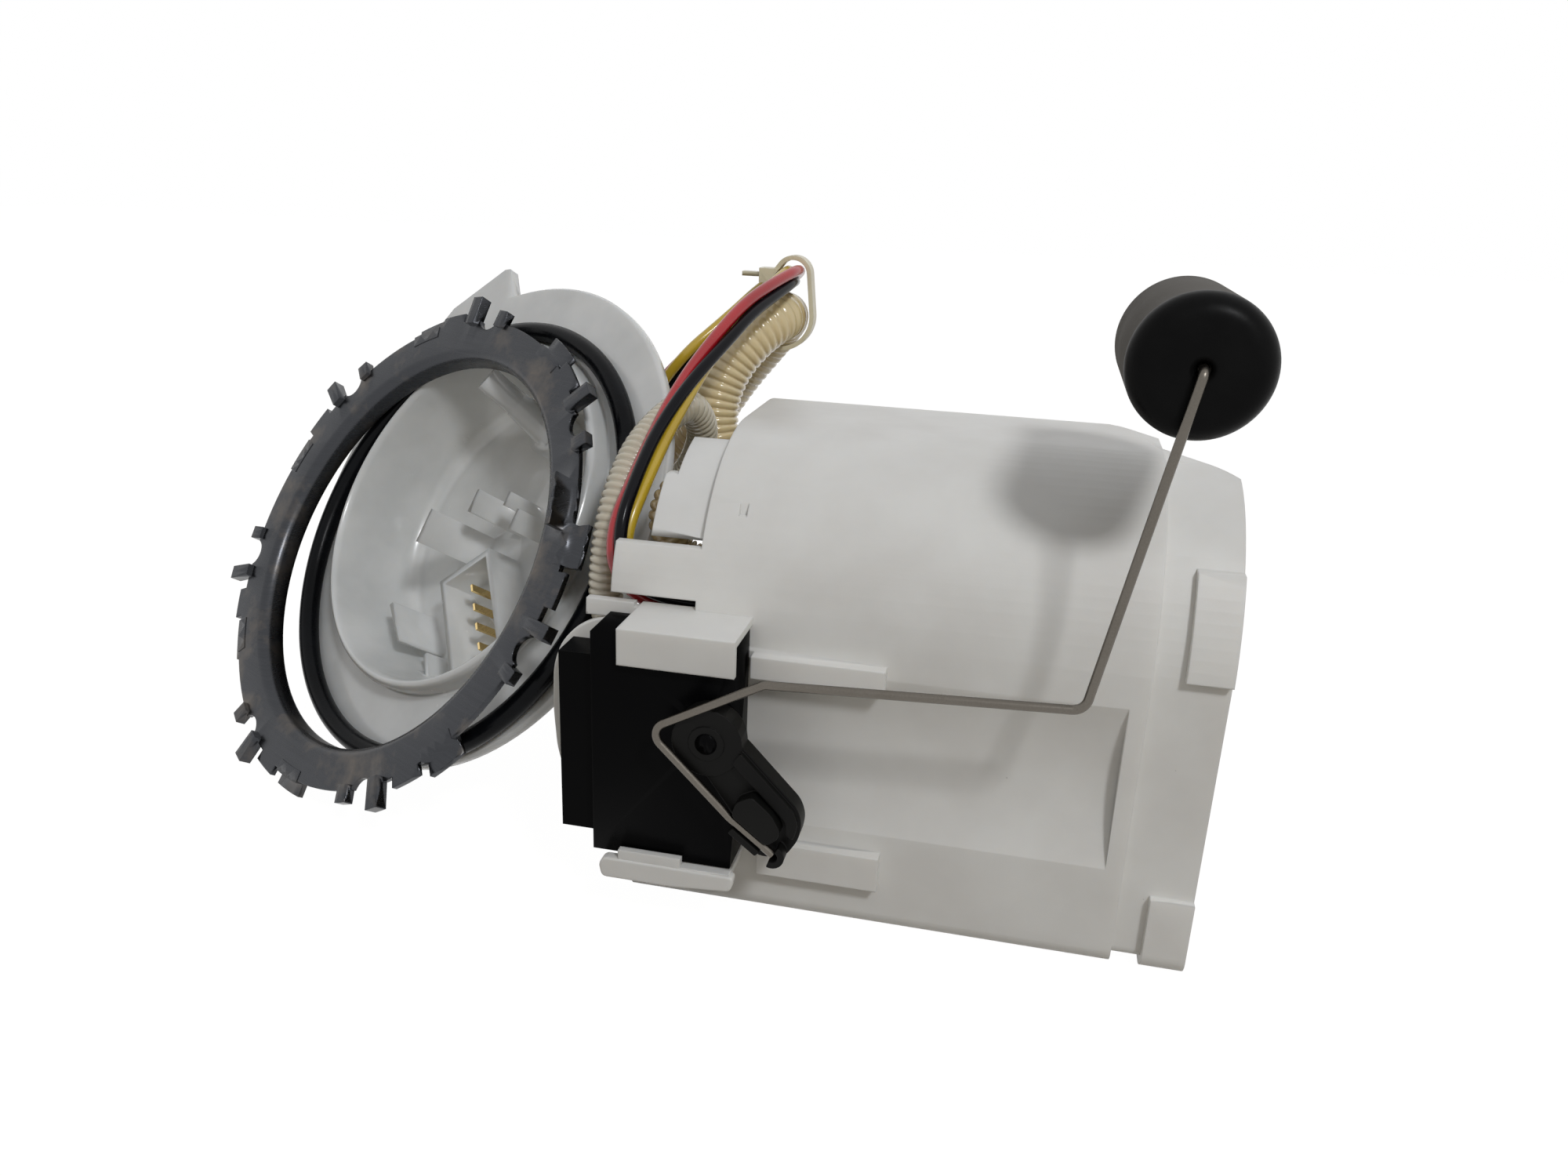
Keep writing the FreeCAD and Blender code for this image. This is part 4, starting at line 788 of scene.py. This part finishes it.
@dataclass
class WireBundle:
    """Three insulated wires that run side by side from the flange's plug to the pot's cover."""

    middle: Sequence[Point] = (
        LID.at(10, -27, -37), LID.at(10, -25, -50), LID.at(16, 0, -57), LID.at(19, 33, -42),
        (-93, 41, 105), (-79, 36, 122), (-67.2, 45, 132.4), (-57.3, 53, 142.6),
        (-48.8, 51.5, 147.2), (-46.2, 37, 148.8), (-49.0, 26, 145.8), (-53.5, 12, 141), (-57.5, -2, 133),
        (-62.5, -16, 123), (-65.8, -29, 112.5), (-66.8, -41, 104), (-68.5, -50.5, 94), (-68, -52, 83),
        (-58, -51, 75.5), (-46, -51, 75.5),
    )
    twist: Sequence[float] = (
        0, 0, 0, 10, 30, 60, 90, 115, 120, 105, 80, 55, 25, -20, -50, -50, -35, -25, -25, -25,
    )
    spread: Point = (0.766, -0.071, -0.639)
    bundle_radius: float = 2.0
    wire_diameter: float = 3.2

    def strand(self, angle: float) -> list[Point]:
        """One wire's route: it keeps its place round the middle line, turned by the listed twist.

        Args:
            angle: The wire's place round the bundle, in degrees.

        Returns:
            The route's points in millimetres.
        """
        middle = np.array(self.middle)
        spread = np.array(self.spread)
        route = []
        for index, point in enumerate(middle):
            along = middle[min(index + 1, len(middle) - 1)] - middle[max(index - 1, 0)]
            along = along / np.linalg.norm(along)
            spread = spread - along * (spread @ along)
            spread = spread / np.linalg.norm(spread)
            turn = math.radians(angle + self.twist[index])
            offset = spread * math.cos(turn) + np.cross(spread, along) * math.sin(turn)
            route.append(tuple(point + offset * self.bundle_radius))
        return route

    def build(self, wardrobe: Wardrobe) -> None:
        for node, look, angle in (("red_wire", Looks.RED, 150.0), ("black_wire", Looks.BLACK, 270.0),
                                  ("yellow_wire", Looks.YELLOW, 30.0)):
            route = self.strand(angle)
            line = spline_line(route, 1.0 * MM)
            wire = spline_curve(node + "_run", route)
            wire.data.bevel_depth = self.wire_diameter / 2 * MM
            wire.data.bevel_resolution = 5
            wire.data.use_fill_caps = True
            wardrobe.dress(wire, look, body_of_node(node))
            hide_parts(node)


@dataclass
class FloatArm:
    """The sensor's lever with its wire clips, and the foam float on the wire's end."""

    hub: Flat = (-37.0, 55.5)
    hub_radius: float = 8.2
    boss_radius: float = 4.2
    lever_back: float = 76.5
    wire_end: Flat = (-20.6, 30.6)
    hook_outside: float = 2.9
    hook_inside: float = 1.35
    float_centre: Flat = (56.0, 145.0)
    float_radius: float = 14.0
    float_front: float = 81.6
    float_length: float = 43.0
    face_round: float = 5.0
    wire_hole: float = 1.3
    float_steps: int = 96

    def lever(self, wardrobe: Wardrobe) -> None:
        """A round hub, an arm with a raised rim, and a block, a bar and a hook that hold the wire."""
        hub = Slab(arc(self.hub, self.hub_radius, 0, 345, 24), self.lever_back, 82.1, corner=0.1)
        ring = Slab(arc(self.hub, self.boss_radius, 0, 340, 18), 82.0, 82.5, corner=0.1)
        arm = Slab([(-33.0, 59.0), (-28.7, 55.2), (-15.8, 42.0), (-14.6, 38.4), (-15.2, 34.0),
                    (-18.4, 28.9), (-24.4, 28.3), (-30.4, 32.8), (-30.3, 37.6), (-39.0, 49.8)],
                   self.lever_back, 81.4, corner=2.0)
        rim = Slab([(-29.0, 54.6), (-16.4, 41.7), (-15.3, 38.4), (-16.2, 34.6), (-17.8, 35.4),
                    (-18.2, 38.9), (-30.8, 51.8)], 80.4, 83.0, corner=0.8)
        block = Slab([(-30.2, 39.7), (-29.2, 43.2), (-25.6, 45.2), (-20.9, 41.2), (-18.9, 37.6),
                      (-19.3, 35.4), (-22.0, 33.3)], 80.6, 84.9, corner=1.2)
        bar = Slab([(-30.0, 36.2), (-31.0, 35.0), (-24.6, 30.0), (-23.5, 31.1)], 80.8, 84.4, corner=0.4)
        hook = Slab(arc(self.wire_end, self.hook_outside, -115, 60, 12)
                    + arc(self.wire_end, self.hook_inside, 60, -115, 12), 80.8, 84.8, corner=0.3)
        piece = moulding("lever_body", [hub, ring, arm, rim, block, bar, hook])
        wardrobe.dress(piece, Looks.LEVER, body_of_node("float_lever"))
        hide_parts("float_lever")

    def foam(self, wardrobe: Wardrobe) -> None:
        """A turned float: a black moulded face with a full round edge, and a cut side of brown-grey foam.

        The profile lists radius and depth from the face: the wire's hole, the flat face, a quarter circle,
        the side, a small round at the far end, and back to the hole.
        """
        edge = np.radians(np.linspace(90, 0, 9))
        side, far = self.float_radius, self.float_length
        flat = side - self.face_round
        profile = [(self.wire_hole, 0.9), (1.9, 0.25), (2.8, 0.0), (flat * 0.5, 0.0), (flat, 0.0)]
        profile += [(flat + self.face_round * math.cos(a), self.face_round * (1 - math.sin(a)))
                    for a in edge[1:]]
        profile += [(side, self.face_round + 0.6), (side, far * 0.5), (side, far - 1.6),
                    (side - 0.5, far - 0.5), (side - 1.6, far), (3.0, far), (self.wire_hole, far - 0.8)]
        radius, depth = np.array(profile).T[:, :, None]
        turns = np.linspace(0, 2 * math.pi, self.float_steps, endpoint=False)
        rows = np.stack([self.float_centre[0] + radius * np.cos(turns),
                         np.broadcast_to(depth - self.float_front, (len(profile), self.float_steps)),
                         self.float_centre[1] + radius * np.sin(turns)], axis=-1)
        piece = grid_mesh("float_foam", np.concatenate([rows, rows[:1]]) * MM)
        wardrobe.dress(piece, Looks.FLOAT_FACE, body_of_node("float"))
        piece.data.materials.append(wardrobe.material(Looks.FLOAT_SIDE))
        border = (self.face_round + 0.3 - self.float_front) * MM
        for face in piece.data.polygons:
            face.material_index = int(face.center.y > border)
        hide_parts("float")

    def build(self, wardrobe: Wardrobe) -> None:
        """Makes the lever and the float."""
        self.lever(wardrobe)
        self.foam(wardrobe)


@dataclass
class PotPlates:
    """Thin plates of the pot's moulding at its mouth: the round rim behind the plug and the lower ledge."""

    edge: float = 0.5
    rim: Slab = Slab([(-61.0, 75.4), (-66.5, 75.2), (-71.5, 73.8), (-76.0, 71.0), (-79.6, 66.6),
                      (-81.6, 60.6), (-82.0, 50.0), (-81.2, 38.0), (-79.2, 31.5), (-75.5, 26.5),
                      (-69.0, 23.2), (-61.0, 22.4)], 60.2, 62.3, corner=3.0)
    ledge: Slab = Slab([(-63.2, 19.6), (-64.4, 17.6), (-63.6, 14.2), (-46.0, 14.2), (-31.5, 15.4),
                        (-30.8, 19.4)], 75.6, 78.6, corner=1.2)

    def build(self, wardrobe: Wardrobe) -> None:
        """Makes both plates."""
        for name, slab in (("pot_rim_plate", self.rim), ("pot_ledge_plate", self.ledge)):
            wardrobe.dress(moulding(name, [slab], self.edge), Looks.POT, body_of_node("pot_shell"))


@dataclass
class CadSkins:
    """The CAD parts that keep their shape: the seen ones get a smooth skin, the hidden ones a finish."""

    sharp_degrees: float = 32.0
    pot_sharp_degrees: float = 15.0
    seen: dict[str, Looks] = field(default_factory=lambda: {
        "pot_shell": Looks.POT, "pot_cover": Looks.COVER, "flange": Looks.FLANGE, "lock_ring": Looks.RING,
        "flange_seal": Looks.SEAL, "sensor_housing": Looks.SENSOR, "sensor_plug": Looks.SENSOR,
        "float_wire": Looks.WIRE, "cable_tie": Looks.TIE, "flange_plug": Looks.SENSOR,
        "wire_grommet": Looks.RUBBER,
    })
    hidden: dict[str, Looks] = field(default_factory=lambda: {
        "filter_housing": Looks.COVER, "filter_lid": Looks.COVER, "filter_cradle": Looks.COVER,
        "jet_pump_tube": Looks.COVER, "brush_holder": Looks.LEVER, "check_valve_case": Looks.LEVER,
        "pump_outlet_cap": Looks.LEVER, "impeller": Looks.LEVER, "check_valve_poppet": Looks.LEVER,
        "pump_casing": Looks.STEEL, "rotor_shaft": Looks.STEEL, "regulator_can": Looks.STEEL,
        "regulator_cap": Looks.STEEL, "regulator_spring": Looks.STEEL, "armature": Looks.MAGNET,
        "rubber_sleeve": Looks.RUBBER, "foot_valve": Looks.RUBBER, "commutator": Looks.BRASS,
        "jet_nozzle": Looks.BRASS, "sensor_contacts": Looks.BRASS, "socket_blades": Looks.BRASS,
        "pump_terminals": Looks.BRASS, "regulator_valve": Looks.BRASS, "pump_inlet_cap": Looks.CASTING,
        "pump_middle_plate": Looks.CASTING, "field_magnets": Looks.MAGNET, "brushes": Looks.MAGNET,
        "filter_element": Looks.PAPER, "inlet_strainer": Looks.CLOTH, "resistor_card": Looks.CARD,
    })

    def build(self, wardrobe: Wardrobe) -> None:
        """Skins the seen parts and paints the hidden ones."""
        for node, look in self.seen.items():
            sharp = self.pot_sharp_degrees if node == "pot_shell" else self.sharp_degrees
            wardrobe.dress(smoothed(node, sharp), look, body_of_node(node))
        for node, look in self.hidden.items():
            wardrobe.paint_node(node, look)


# ---- floor, light and camera ----


@dataclass
class Studio:
    """A plain pale floor, soft light and the camera at the photograph's angle, in metres."""

    floor_half: float = 3.0
    floor_drop: float = 0.0002
    floor_colour: Colour = (0.36, 0.33, 0.285)
    floor_white: float = 1.23
    floor_white_share: float = 0.8
    lens_mm: float = 27.0
    sensor_mm: float = 36.0
    eye: Point = (0.0262, -0.3099, 0.1757)
    right: Point = (0.97583, 0.21499, 0.03879)
    up: Point = (-0.10698, 0.31549, 0.94286)
    back: Point = (0.19047, -0.92425, 0.33086)
    nearest: float = 0.01
    object_middle: Point = (-0.02, -0.02, 0.06)
    key_from: Point = (0.41, -0.60, 0.69)
    key_distance: float = 1.1
    key_size: float = 0.16
    key_watts: float = 4.3
    key_colour: Colour = (0.97, 0.98, 1.0)
    sky_above: Colour = (0.50, 0.51, 0.53)
    sky_level: Colour = (0.165, 0.152, 0.132)

    def floor(self) -> None:
        """A wide level sheet. It catches the object's shadow, and shows white where no shadow falls."""
        mesh = bpy.data.meshes.new("floor")
        corners = [(x * self.floor_half, y * self.floor_half, -self.floor_drop)
                   for x, y in ((-1, -1), (1, -1), (1, 1), (-1, 1))]
        mesh.from_pydata(corners, [], [(0, 1, 2, 3)])
        sheet = put("floor", mesh)
        paint = Painter("floor_white")
        lit = paint.signal("ShaderNodeBsdfDiffuse", 0, {}, {"Color": self.floor_colour})
        white = paint.signal("ShaderNodeEmission", 0, {}, {"Color": WHITE, "Strength": self.floor_white})
        mixed = paint.signal("ShaderNodeMixShader", 0, {}, {0: self.floor_white_share, 1: lit, 2: white})
        both = paint.signal("ShaderNodeMixShader", 0, {}, {0: paint.direct_view(), 1: lit, 2: mixed})
        paint.node("ShaderNodeOutputMaterial", {}, {"Surface": both})
        mesh.materials.append(paint.owner)

    def world(self) -> None:
        """Light from all round, stronger and cooler from above, which the camera sees as white."""
        paint = Painter("studio", "worlds")
        bpy.context.scene.world = paint.owner
        direction = paint.signal("ShaderNodeTexCoord", "Generated")
        height = paint.signal("ShaderNodeSeparateXYZ", "Z", {}, {0: direction})
        stops = [(0.0, self.sky_level), (1.0, self.sky_above)]
        sky = paint.signal("ShaderNodeValToRGB", 0, {"stops": stops}, {0: height})
        lit = paint.signal("ShaderNodeBackground", 0, {}, {"Color": sky})
        white = paint.signal("ShaderNodeBackground", 0, {}, {"Color": WHITE})
        both = paint.signal("ShaderNodeMixShader", 0, {}, {0: paint.direct_view(), 1: lit, 2: white})
        paint.node("ShaderNodeOutputWorld", {}, {"Surface": both})

    def lamp(self) -> None:
        """One round lamp, up to the right on the camera's side, which gives the float's soft shadow."""
        away = np.array(self.key_from)
        away /= np.linalg.norm(away)
        data = bpy.data.lights.new("key", "AREA")
        data.shape = "DISK"
        data.size = self.key_size
        data.energy = self.key_watts
        data.color = self.key_colour
        lamp = put("key", data)
        lamp.location = tuple(np.array(self.object_middle) + away * self.key_distance)
        lamp.rotation_mode = "QUATERNION"
        lamp.rotation_quaternion = Vector((-away).tolist()).to_track_quat("-Z", "Y")

    def camera(self) -> None:
        """The camera of the photograph."""
        data = bpy.data.cameras.new("camera")
        data.lens = self.lens_mm
        data.sensor_width = self.sensor_mm
        data.clip_start = self.nearest
        camera = put("camera", data)
        turn = np.eye(4)
        turn[:3, 0], turn[:3, 1], turn[:3, 2], turn[:3, 3] = self.right, self.up, self.back, self.eye
        camera.matrix_world = Matrix(turn.tolist())
        bpy.context.scene.camera = camera

    def build(self) -> None:
        """Sets up floor, light and camera."""
        bpy.context.scene.view_settings.view_transform = "Standard"
        self.floor()
        self.world()
        self.lamp()
        self.camera()


def main() -> None:
    """Builds everything in order."""
    logging.basicConfig(level=logging.INFO, format="%(message)s")
    wardrobe = Wardrobe()
    Studio().build()
    Hoses().build(wardrobe)
    WireBundle().build(wardrobe)
    FloatArm().build(wardrobe)
    PotPlates().build(wardrobe)
    CadSkins().build(wardrobe)


if __name__ == "__main__":
    main()
